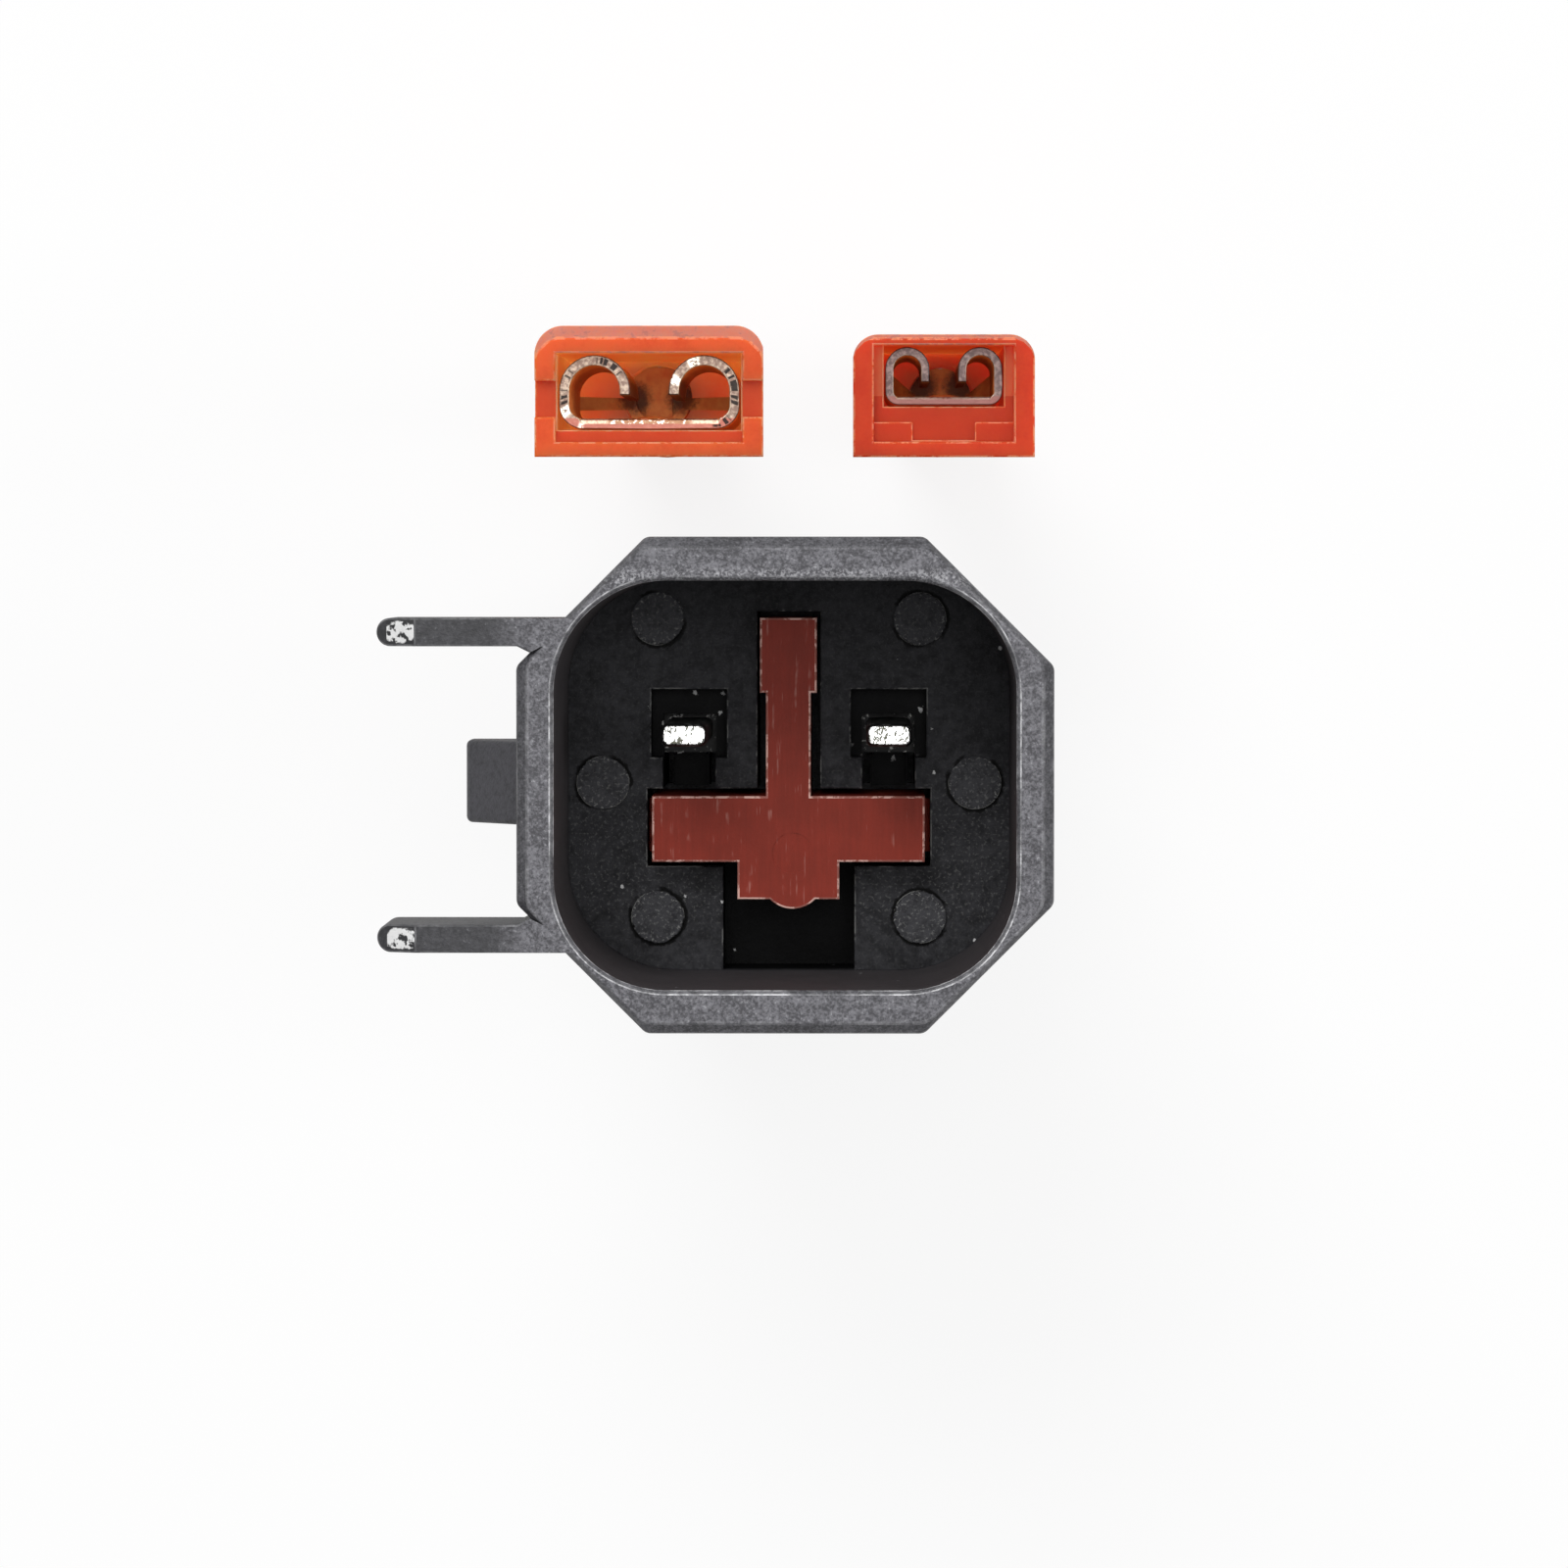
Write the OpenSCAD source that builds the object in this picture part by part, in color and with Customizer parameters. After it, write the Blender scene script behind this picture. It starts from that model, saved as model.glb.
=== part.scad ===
// Speaker harness adapter: a two-way plug with its wedge lock and blade contacts,
// and the two insulated push-on terminals that go with it.
// Millimetres. +Z is the way every mouth faces, and each end stands on its wire side at Z = 0.

/* [Socket] */
// Width of the socket inside the collar
socket_w = 14.8; // [14.4:0.1:18]
// Height of the socket inside the collar
socket_h = 13.1; // [12.8:0.1:16]
// Radius of the socket's corners
socket_r = 3.6; // [3:0.1:4.2]
// Depth from the rim to the socket floor
socket_depth = 10.5; // [8.5:0.1:14]
// Diameter of the round ejector marks on the floor
mark_d = 1.8; // [1.2:0.1:2]
// Height of the ejector marks above the floor
mark_t = 0.12; // [0.05:0.01:0.3]

/* [Collar and rear body] */
// Wall between the socket and the left and right flats
collar_side_wall = 1.2; // [1:0.05:2]
// Wall between the socket and the top and bottom flats
collar_top_wall = 1.4; // [1.2:0.05:2]
// Wall left between a round socket corner and the slanted flat
collar_corner_wall = 0.4; // [0.3:0.05:0.9]
// Length of the collar behind the socket floor
collar_tail = 4; // [3:0.1:6]
// Bevel round the front and rear edges of the collar
collar_bevel = 0.35; // [0.1:0.05:0.5]
// Radius of the collar's eight corners
collar_corner_r = 0.4; // [0.2:0.05:0.8]
// Least wall of the rear body round the cavities and the wedge pocket
body_wall = 1.1; // [0.8:0.05:1.3]
// Radius of the rear body's corners
body_r = 2; // [0.6:0.1:2.4]
// Length of the round wire entries
port_len = 5; // [3:0.1:10]
// Diameter of the round wire entries
port_d = 4; // [3.8:0.05:4.4]

/* [Latch side] */
// Clear width between the two guard rails
rail_gap = 8.9; // [7.5:0.1:9.2]
// Thickness of each guard rail
rail_t = 0.9; // [0.7:0.05:1.3]
// Reach of the rails beyond the collar's flat
rail_reach = 4.5; // [3:0.1:6]
// Length of the rails behind the rim
rail_len = 4.5; // [3:0.1:10]
// Length of the sloping nose of each rail
rail_nose_len = 1.25; // [0.9:0.05:2]
// Drop of the sloping nose
rail_nose_drop = 0.45; // [0.2:0.05:0.9]
// Length of the gusset at the foot of each rail
rail_gusset = 0.6; // [0.3:0.05:0.9]
// Width of the lock ramp
nib_w = 2.7; // [2:0.1:4]
// Height of the lock ramp above the collar's flat
nib_h = 1.85; // [1:0.05:2.5]
// Distance from the rim to the start of the lock ramp
nib_start = 2.2; // [1:0.1:4]
// Length of the sloping face of the lock ramp
nib_ramp = 2.2; // [1.5:0.1:4]
// Length of the flat crest behind the ramp
nib_crest = 1.3; // [0.6:0.1:2.5]

/* [Blade contacts] */
// Distance between the two blades
pin_pitch = 6.7; // [6.2:0.1:7.4]
// Height of the blades above the socket's middle
pin_y = 1.5; // [1.3:0.05:1.7]
// Width of a blade
blade_w = 1.5; // [1.2:0.05:1.8]
// Thickness of a blade
blade_t = 0.75; // [0.6:0.05:0.9]
// Length of a blade above the socket floor
blade_out = 6.5; // [4:0.1:8]
// Length of the chamfered end of a blade
blade_point = 0.3; // [0.1:0.05:0.6]
// Width of the folded box
box_w = 2.3; // [2.2:0.05:2.5]
// Height of the folded box
box_h = 2.05; // [1.95:0.05:2.2]
// Length of the folded box
box_len = 5.5; // [5.2:0.1:8]
// Distance from the middle of the blade down to the underside of the box
box_below = 0.8; // [0.75:0.05:0.9]
// Thickness of the contact's sheet
contact_stock = 0.3; // [0.2:0.02:0.32]
// Length of each neck between box and barrels
contact_neck = 0.9; // [0.5:0.1:2]
// Length of the conductor barrel
core_len = 2.6; // [2:0.1:4]
// Outside diameter of the conductor barrel
core_d = 1.8; // [1.6:0.05:2]
// Length of the insulation barrel
grip_len = 2.2; // [1.5:0.1:4]
// Outside diameter of the insulation barrel
grip_d = 2.4; // [2.1:0.05:2.5]
// Clearance round the contact in its cavity
cavity_clear = 0.12; // [0.08:0.01:0.2]
// Depth of the recess in the floor round each blade
recess_depth = 1.2; // [0.6:0.1:2]
// Web between that recess and the contact's box
web_t = 0.8; // [0.5:0.05:1.2]
// Clearance round the blade in the web
blade_clear = 0.15; // [0.1:0.05:0.35]

/* [Lock fingers and wedge] */
// Thickness of a lock finger
finger_t = 1.05; // [0.9:0.05:1.4]
// Width of a lock finger
finger_w = 1.2; // [1:0.05:1.4]
// Slit on each side of a lock finger
finger_slit = 0.28; // [0.2:0.02:0.36]
// Distance from the box's front to the tip of the lock finger
finger_tip = 1.3; // [1:0.1:2]
// Length of the lug on the finger's tip
lug_len = 1; // [0.6:0.1:1.4]
// Height of the lug inside the contact's window
lug_h = 0.25; // [0.15:0.01:0.28]
// Clearance round the lug in the window
lug_clear = 0.15; // [0.1:0.01:0.2]
// Clearance round the wedge in its pocket
wedge_clear = 0.2; // [0.15:0.01:0.35]
// Height of the wedge's face above the socket floor
wedge_proud = 1.5; // [0.5:0.1:3]
// Depth of the wedge pocket below the floor
wedge_depth = 6; // [5:0.1:7]
// Height of the wedge's cross-bar
bar_h = 2.2; // [1.6:0.02:2.3]
// Length of the cross-bar beyond each lock finger's slit
bar_cover = 0.32; // [0.2:0.02:0.8]
// Width of the wedge's post
post_w = 1.5; // [1.2:0.05:1.8]
// Width of the post's head
post_head_w = 1.9; // [1.85:0.05:2.1]
// Length of the post's head
post_head_len = 2.5; // [1.5:0.1:3.5]
// Length of the post above the cross-bar
post_len = 5.95; // [5.4:0.05:6.4]
// Width of the stub below the cross-bar
stub_w = 3.4; // [2.4:0.1:3.8]
// Length of the stub
stub_len = 1.25; // [0.8:0.05:1.5]
// Radius of the hook under the stub
hook_r = 1.05; // [0.8:0.05:1.2]
// Drop of the hook below the stub
hook_drop = 0.32; // [0.15:0.01:0.5]
// Width of the notch for the stub
notch_w = 4.4; // [4.2:0.1:5]
// Floor left under that notch
notch_floor = 1; // [0.6:0.1:1.4]
// Radius of the snap ridges at the cross-bar's ends
snap_r = 0.35; // [0.2:0.01:0.4]

/* [Terminals] */
// Gap between the collar and the terminals
terminal_gap = 2.7; // [1.5:0.1:10]
// Gap between the two terminals
terminal_spread = 3; // [1.5:0.1:10]
// Distance of that gap's middle from the plug's middle
terminal_shift = 0.65; // [-3:0.05:3]
// Clearance between an insulator and the metal in it
sleeve_fit = 0.05; // [0.03:0.01:0.08]
// Length of the funnel at the wire end
funnel_len = 1.2; // [0.6:0.1:2]
// Length of the crimp sleeve round the wire's insulation
wire_grip_len = 3.2; // [2:0.1:5]
// Bore of the crimp sleeve for the wire's insulation
wire_bore_d = 2.7; // [2.5:0.05:2.9]
// Wall of the crimp sleeves
crimp_t = 0.2; // [0.15:0.01:0.25]
// Bore of the receptacles' wire barrels
barrel_bore_d = 1.6; // [1.4:0.05:1.7]
// Length of the receptacles' wire barrels
barrel_len = 4.5; // [3:0.1:6]
// Thickness of the wire stop at the front of each wire barrel
wire_stop = 0.4; // [0.2:0.05:0.8]
// Half width of the tab on that stop
stop_half_w = 0.46; // [0.3:0.02:0.7]
// Length of the neck between barrel and receptacle
neck_len = 2.4; // [1.8:0.1:4]
// Half width of that neck
neck_half_w = 0.65; // [0.5:0.05:0.8]
// Wall of the insulators' round wire ends
wire_end_wall = 0.3; // [0.26:0.02:0.44]
// Draft of the insulators' outside over their mouth part
sleeve_draft = 0.25; // [0.1:0.05:0.4]
// Length of the shoulder under the insulator's mouth part
shoulder_len = 2; // [1:0.1:3]
// Side play of a tab in its receptacle
tab_play = 0.29; // [0.15:0.01:0.35]
// Distance from the insulator's mouth to the receptacle
set_back = 0.6; // [0.5:0.1:2]
// Depth of the step round the receptacle in the mouth
mouth_step = 0.35; // [0.15:0.05:0.45]

/* [Large terminal] */
// Width of the tab that the large terminal takes
large_tab_w = 4.8; // [4:0.1:6.3]
// Thickness of that tab
large_tab_t = 0.8; // [0.6:0.05:0.85]
// Sheet thickness of the large receptacle
large_stock = 0.34; // [0.28:0.01:0.38]
// Height of the large receptacle
large_roll_h = 2.47; // [2.38:0.01:2.7]
// Outside radius of its rolled edges
large_roll_r = 1.19; // [0.9:0.01:1.22]
// Outside radius of its lower corners
large_side_r = 0.8; // [0.5:0.05:1]
// Length of the large receptacle
large_roll_len = 8.1; // [6:0.1:10]
// Room beside the receptacle in the mouth
large_mouth_side = 0.1; // [0.08:0.01:0.4]
// Room under the receptacle in the mouth
large_mouth_below = 0.45; // [0.3:0.01:1.2]
// Side wall of the large insulator
large_wall_side = 0.7; // [0.5:0.05:1]
// Floor of the large insulator
large_wall_floor = 0.5; // [0.4:0.05:1]
// Roof of the large insulator
large_wall_roof = 0.93; // [0.6:0.01:1.4]
// Radius of the large insulator's upper corners
large_corner_r = 0.95; // [0.5:0.05:1.2]
// Bevel along the front of its roof
large_brow = 0.42; // [0.1:0.02:0.5]
// Height of the relief in each side of the mouth
large_relief_h = 1.2; // [0.6:0.05:1.6]
// Depth of that relief
large_relief_t = 0.35; // [0.2:0.05:1]

/* [Small terminal] */
// Width of the tab that the small terminal takes
small_tab_w = 2.8; // [2.4:0.1:4]
// Thickness of that tab
small_tab_t = 0.5; // [0.4:0.05:0.7]
// Sheet thickness of the small receptacle
small_stock = 0.28; // [0.22:0.01:0.32]
// Height of the small receptacle
small_roll_h = 1.95; // [1.85:0.01:2.2]
// Outside radius of its rolled edges
small_roll_r = 0.745; // [0.6:0.005:0.8]
// Outside radius of its lower corners
small_side_r = 0.45; // [0.36:0.01:0.6]
// Length of the small receptacle
small_roll_len = 7.4; // [6:0.1:10]
// Room beside the receptacle in the mouth
small_mouth_side = 0.38; // [0.1:0.01:0.6]
// Room under the receptacle in the mouth
small_mouth_below = 1.24; // [0.7:0.01:1.4]
// Side wall of the small insulator
small_wall_side = 0.7; // [0.5:0.02:1]
// Floor of the small insulator
small_wall_floor = 0.52; // [0.4:0.02:1]
// Roof of the small insulator
small_wall_roof = 0.36; // [0.3:0.02:1]
// Radius of the small insulator's upper corners
small_corner_r = 0.85; // [0.5:0.05:1.1]
// Bevel along the front of its roof
small_brow = 0.14; // [0.06:0.02:0.3]
// Width of the notch in the ledge under the receptacle
small_notch_w = 2.1; // [1.4:0.1:2.6]
// Height of its wire end above the insulator's middle
small_wire_lift = 0.15; // [0:0.05:0.3]

/* [Show] */
// One piece by its name, or all

/* [Hidden] */
$fn = 64;
eps = 0.02;

BLACK = [0.13, 0.13, 0.14];
RUST = [0.47, 0.19, 0.14];
TIN = [0.78, 0.77, 0.74];
ORANGE = [0.85, 0.36, 0.18];
COPPER = [0.75, 0.5, 0.33];

// Heights along the plug, from the wire side up
port_gap = 0.4;
z_grip = port_len + port_gap;
z_core = z_grip + grip_len + contact_neck;
z_box = z_core + core_len + contact_neck;
z_box_front = z_box + box_len;
z_floor = z_box_front + web_t + recess_depth;
z_rim = z_floor + socket_depth;
z_tip = z_floor + blade_out;
z_collar = z_floor - collar_tail;

// Outline of the collar
collar_half_w = socket_w / 2 + collar_side_wall;
collar_half_h = socket_h / 2 + collar_top_wall;
slant = socket_w / 2 + socket_h / 2 - 2 * socket_r + (socket_r + collar_corner_wall) * sqrt(2);

// Contact cavities
box_y = pin_y - box_below;
box_mid = box_y + box_h / 2;
cavity_w = box_w + 2 * cavity_clear;
cavity_h = box_h + 2 * cavity_clear;
cavity_y = box_y - cavity_clear;
z_cavity = z_core - contact_neck / 2;

// Lock fingers
slot_w = finger_w + 2 * finger_slit;
finger_low = cavity_y - finger_t;
z_finger_tip = z_box_front - finger_tip;
z_finger_root = z_box + 0.6;
window_w = finger_w - 0.2 + 2 * lug_clear;

// Wedge and pocket
bar_top = finger_low - wedge_clear;
bar_low = bar_top - bar_h;
bar_half = pin_pitch / 2 + slot_w / 2 + bar_cover;
post_top = bar_top + post_len;
stub_low = bar_low - stub_len;
z_face = z_floor + wedge_proud;
z_seat = z_floor - wedge_depth;
z_snap = z_floor - 2.4;
notch_depth = collar_tail - notch_floor;

// Rear body
body_half_w = max(bar_half + wedge_clear, pin_pitch / 2 + max(cavity_w, port_d - 0.7) / 2) + body_wall;
body_half_h = post_top + wedge_clear + body_wall;

// Terminals
large_w = large_tab_w + 2 * (tab_play + large_stock);
small_w = small_tab_w + 2 * (tab_play + small_stock);
large_out_w = large_w + 2 * (large_mouth_side + large_wall_side);
small_out_w = small_w + 2 * (small_mouth_side + small_wall_side);
large_out_h = large_wall_floor + large_mouth_below + large_roll_h + sleeve_fit + large_wall_roof;
small_out_h = small_wall_floor + small_mouth_below + small_roll_h + sleeve_fit + small_wall_roof;
z_grip_end = funnel_len + wire_grip_len;
z_barrel_end = z_grip_end + barrel_len;
z_roll = z_barrel_end + neck_len;
large_len = z_roll + large_roll_len + set_back;
small_len = z_roll + small_roll_len + set_back;
large_axis = large_out_h / 2;
small_axis = small_out_h / 2 + small_wire_lift;
terminal_y = collar_half_h + terminal_gap;
large_x = terminal_shift - terminal_spread / 2 - large_out_w / 2;
small_x = terminal_shift + terminal_spread / 2 + small_out_w / 2;

// Plain helpers

// Block between two corners
module block(low, high) {
    translate(low) cube(high - low);
}

// Rectangle with round corners, centred
module round_rect(w, h, r) {
    square([w, h - 2 * r], center = true);
    square([w - 2 * r, h], center = true);
    for (x = [-1, 1], y = [-1, 1])
        translate([x * (w / 2 - r), y * (h / 2 - r)]) circle(r);
}

// Profile given as [Y, Z] points, swept along X over the whole width w
module sweep_x(w, points) {
    translate([-w / 2, 0, 0]) rotate([90, 0, 90]) linear_extrude(w) polygon(points);
}

// Profile given as [X, Z] points, swept along Y from y0 to y1
module sweep_y(y0, y1, points) {
    translate([0, y1, 0]) rotate([90, 0, 0]) linear_extrude(y1 - y0) polygon(points);
}

// Left and right copies at the contacts' pitch
module at_contacts() {
    for (side = [-1, 1]) translate([side * pin_pitch / 2, 0, 0]) children();
}

// Plug housing

// Octagon of the collar with round corners, drawn in by the given amount, and by less on the slanted flats
module collar_outline(inset = 0) {
    w = collar_half_w - inset;
    h = collar_half_h - inset;
    cut = w + h - slant + inset * 0.7;
    r = collar_corner_r + 1.5 * inset;
    offset(r = r, $fn = 48) offset(delta = -r)
        polygon([[w, h - cut], [w - cut, h], [cut - w, h], [-w, h - cut],
                 [-w, cut - h], [cut - w, -h], [w - cut, -h], [w, cut - h]]);
}

module collar() {
    hull() {
        translate([0, 0, z_rim - eps]) linear_extrude(eps) collar_outline(collar_bevel);
        translate([0, 0, z_collar + collar_bevel])
            linear_extrude(z_rim - z_collar - 2 * collar_bevel) collar_outline();
        translate([0, 0, z_collar]) linear_extrude(eps) collar_outline(collar_bevel);
    }
}

module rear_body() {
    linear_extrude(z_collar + 1) round_rect(2 * body_half_w, 2 * body_half_h, body_r);
}

// Guard rail standing out to the left, with its inner face on Y = 0: round at its end, with a sloping nose
// and a small gusset at its foot
module guard_rail() {
    tip = -collar_half_w - rail_reach;
    root = -socket_w / 2 + socket_r / 2;
    low = z_rim - rail_len;
    foot = rail_gap / 2 - slant;
    step = 0.35;
    intersection() {
        sweep_y(-1, rail_t + 1,
                [[tip, low], [root, low], [root, z_rim], [tip + rail_nose_len, z_rim],
                 [tip + step, z_rim - rail_nose_drop], [tip, z_rim - rail_nose_drop - step]]);
        translate([0, 0, low - 1]) linear_extrude(rail_len + 2) {
            translate([tip + rail_t / 2, 0]) square([root - tip - rail_t / 2, rail_t]);
            translate([tip + rail_t / 2, rail_t / 2]) circle(rail_t / 2);
        }
    }
    translate([0, 0, low]) linear_extrude(rail_len)
        polygon([[foot - rail_gusset, 0], [foot - rail_gusset / 3, -rail_gusset / 3], [foot + 0.2, 0],
                 [foot + 0.2, 0.2], [foot - rail_gusset, 0.2]]);
}

// Ramp that a mating latch rides over, square behind its crest
module lock_ramp() {
    root = -collar_half_w + 0.5;
    crest = -collar_half_w - nib_h;
    z0 = z_rim - nib_start;
    z1 = z0 - nib_ramp;
    z2 = z1 - nib_crest;
    sweep_y(-nib_w / 2, nib_w / 2,
            [[root, z0 + 0.5 * nib_ramp / nib_h], [-collar_half_w, z0], [crest, z1], [crest, z2], [root, z2]]);
}

module ejector_marks() {
    floor_h = socket_h / 2;
    floor_w = socket_w / 2;
    spots = [[floor_w - 3, floor_h - 1.32], [floor_w - 1.16, -0.27], [floor_w - 3, 1.77 - floor_h]];
    for (side = [-1, 1], spot = spots)
        translate([side * spot[0], spot[1], z_floor - 0.5]) cylinder(d = mark_d, h = 0.5 + mark_t);
}

// Room for the wedge: cross-bar, post, stub notch and snap grooves
module wedge_pocket() {
    c = wedge_clear;
    block([-bar_half - c, bar_low - c, z_seat], [bar_half + c, bar_top + c, z_floor + 1]);
    block([-post_head_w / 2 - c / 2, bar_top, z_seat], [post_head_w / 2 + c / 2, post_top + c, z_floor + 1]);
    block([-notch_w / 2, -socket_h / 2, z_floor - notch_depth], [notch_w / 2, bar_low, z_floor + 1]);
    for (side = [-1, 1])
        translate([side * (bar_half + 0.05), bar_low - c, z_snap])
            rotate([-90, 0, 0]) cylinder(r = snap_r + 0.1, h = bar_h + 2 * c);
}

// One contact's way through the housing, from the floor recess to the wire entry
module contact_way() {
    port_r = port_d / 2;
    block([-cavity_w / 2, cavity_y, z_floor - recess_depth], [cavity_w / 2, cavity_y + cavity_h, z_floor + 1]);
    block([-blade_w / 2 - blade_clear, pin_y - blade_t / 2 - blade_clear, z_box_front - 1],
          [blade_w / 2 + blade_clear, pin_y + blade_t / 2 + blade_clear, z_floor + 1]);
    block([-cavity_w / 2, cavity_y, z_cavity], [cavity_w / 2, cavity_y + cavity_h, z_box_front]);
    translate([0, box_mid, -1]) cylinder(r = port_r, h = port_len + 1);
    translate([0, box_mid, port_len - eps]) cylinder(r = port_r - 0.4, h = z_cavity - port_len + 2 * eps);
}

// Slits that free the lock finger, and the opening in front of its tip
module finger_slits() {
    low = finger_low - eps;
    high = cavity_y + eps;
    for (side = [-1, 1])
        translate([side * (finger_w + finger_slit) / 2, 0, 0])
            block([-finger_slit / 2, low, z_finger_root], [finger_slit / 2, high, z_floor + 1]);
    block([-slot_w / 2, low, z_finger_tip], [slot_w / 2, pin_y, z_floor + 1]);
}

// Lug on the finger's tip, sloped on the side that the contact comes from
module finger_lug() {
    w = finger_w - 0.2;
    z1 = z_finger_tip;
    z0 = z1 - lug_len;
    top = box_y + lug_h;
    sweep_x(w, [[cavity_y - 0.3, z1], [top, z1], [top, z1 - 0.3], [cavity_y, z0], [cavity_y - 0.3, z0]]);
}

module plug_housing() {
    color(BLACK) union() {
        difference() {
            union() {
                difference() {
                    union() {
                        collar();
                        rear_body();
                        for (side = [0, 1]) mirror([0, side, 0]) translate([0, rail_gap / 2, 0]) guard_rail();
                        lock_ramp();
                    }
                    translate([0, 0, z_floor])
                        linear_extrude(socket_depth + 1) round_rect(socket_w, socket_h, socket_r);
                }
                ejector_marks();
            }
            wedge_pocket();
            at_contacts() contact_way();
            at_contacts() finger_slits();
        }
        at_contacts() finger_lug();
    }
}

// Wedge lock

module wedge_lock() {
    tip = 0.45;
    deep = z_floor - notch_depth + 0.3;
    color(RUST) difference() {
        union() {
            // Cross-bar with a tapered end that rests on the pocket's floor
            sweep_x(2 * bar_half,
                    [[bar_low, z_face], [bar_top, z_face], [bar_top, z_seat + 1], [bar_top - tip, z_seat],
                     [bar_low + tip, z_seat], [bar_low, z_seat + 1]]);
            // Post between the contacts, and its wider head
            sweep_y(bar_top - 0.2, post_top,
                    [[-post_w / 2, z_face], [post_w / 2, z_face], [post_w / 2, z_seat + 1.2],
                     [post_w / 2 - 0.3, z_seat + 0.3], [0.3 - post_w / 2, z_seat + 0.3],
                     [-post_w / 2, z_seat + 1.2]]);
            block([-post_head_w / 2, post_top - post_head_len, z_floor - 2.5],
                  [post_head_w / 2, post_top, z_face]);
            // Stub and the round hook under it
            block([-stub_w / 2, stub_low, deep], [stub_w / 2, bar_low + 0.2, z_face]);
            translate([0.14, stub_low - hook_drop + hook_r, deep]) cylinder(r = hook_r, h = z_face - deep);
            // Snap ridges at the ends of the cross-bar
            for (side = [-1, 1])
                translate([side * (bar_half + 0.05), bar_low + 0.2, z_snap])
                    rotate([-90, 0, 0]) cylinder(r = snap_r, h = bar_h - 0.4);
        }
        // Round gate mark in the face
        translate([0.14, bar_low + 0.3, z_face - 0.03]) cylinder(r = 0.68, h = 1);
    }
}

// Blade contacts

// Rolled barrel with a seam on top, standing on the contact's floor line
module rolled_barrel(d, stock, z0, z1) {
    difference() {
        translate([0, d / 2, z0]) cylinder(d = d, h = z1 - z0);
        translate([0, d / 2, z0 - 1]) cylinder(d = d - 2 * stock, h = z1 - z0 + 2);
        block([-0.06, d / 2, z0 - 1], [0.06, d + 1, z1 + 1]);
    }
}

module blade() {
    p = blade_point;
    c = 0.07;
    low = z_box_front - 2;
    intersection() {
        sweep_y(-1, 1,
                [[-blade_w / 2, low], [blade_w / 2, low], [blade_w / 2, z_tip - p], [blade_w / 2 - c, z_tip],
                 [c - blade_w / 2, z_tip], [-blade_w / 2, z_tip - p]]);
        sweep_x(4, [[-blade_t / 2, low], [blade_t / 2, low], [blade_t / 2, z_tip - p], [blade_t / 2 - c, z_tip],
                    [c - blade_t / 2, z_tip], [-blade_t / 2, z_tip - p]]);
    }
}

module blade_contact() {
    s = contact_stock;
    window_top = z_finger_tip + lug_clear;
    window_low = z_finger_tip - lug_len - 2 * lug_clear;
    translate([0, pin_y, 0]) blade();
    translate([0, box_y, 0]) {
        difference() {
            block([-box_w / 2, 0, z_box], [box_w / 2, box_h, z_box_front]);
            block([s - box_w / 2, s, z_box - 1], [box_w / 2 - s, box_h - s, z_box_front - 0.5]);
            // Window that the lock finger's lug drops into
            block([-window_w / 2, -1, window_low], [window_w / 2, s + 0.1, window_top]);
            // Seam of the folded box
            block([0.35, box_h - s - 0.1, z_box - 1], [0.43, box_h + 1, z_box_front - 0.5]);
        }
        block([-0.65, 0, z_grip + grip_len - 0.3], [0.65, s, z_box + 0.5]);
        rolled_barrel(core_d, s, z_core, z_core + core_len);
        rolled_barrel(grip_d, s, z_grip, z_grip + grip_len);
    }
}

module left_blade_contact() {
    color(TIN) translate([-pin_pitch / 2, 0, 0]) blade_contact();
}

module right_blade_contact() {
    color(TIN) translate([pin_pitch / 2, 0, 0]) blade_contact();
}

// Terminals: each stands with its underside on local Y = 0 and its mouth up

module at_large() {
    translate([large_x, terminal_y, 0]) children();
}

module at_small() {
    translate([small_x, terminal_y, 0]) children();
}

// Flat underside, upright sides and two round upper corners
module sleeve_outline(w, h, r) {
    translate([-w / 2, 0]) square([w, h - r]);
    translate([r - w / 2, 0]) square([w - 2 * r, h]);
    for (side = [-1, 1]) translate([side * (w / 2 - r), h - r]) circle(r);
}

// Bevel along the front of the roof, fading round the two upper corners
module brow_cut(w, h, r, brow, len) {
    fade = [1, 0.92, 0.72, 0.3];
    for (side = [-1, 1], step = [0:3]) {
        b = brow * fade[step];
        translate([side * (w / 2 - r), h - r, len]) rotate([0, 0, -side * step * 22.5])
            sweep_x(2 * w, [[r - b, 0], [r - b, 1], [r + 1, 1], [r + 1, -b - 1], [r, -b]]);
    }
}

// Thin wedges that give the outside its draft
module draft_cut(w, h, len, low) {
    far = sleeve_draft * (len - low + 1) / (len - low);
    for (side = [0, 1]) mirror([side, 0, 0])
        sweep_y(-1, h + 1, [[w / 2, len], [w / 2 + 1, len], [w / 2 + 1, low - 1], [w / 2 - far, low - 1]]);
    sweep_x(2 * w, [[0, len], [-1, len], [-1, low - 1], [far, low - 1]]);
    sweep_x(2 * w, [[h, len - 1], [h + 1, len - 1], [h + 1, low - 1], [h - far, low - 1]]);
}

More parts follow.
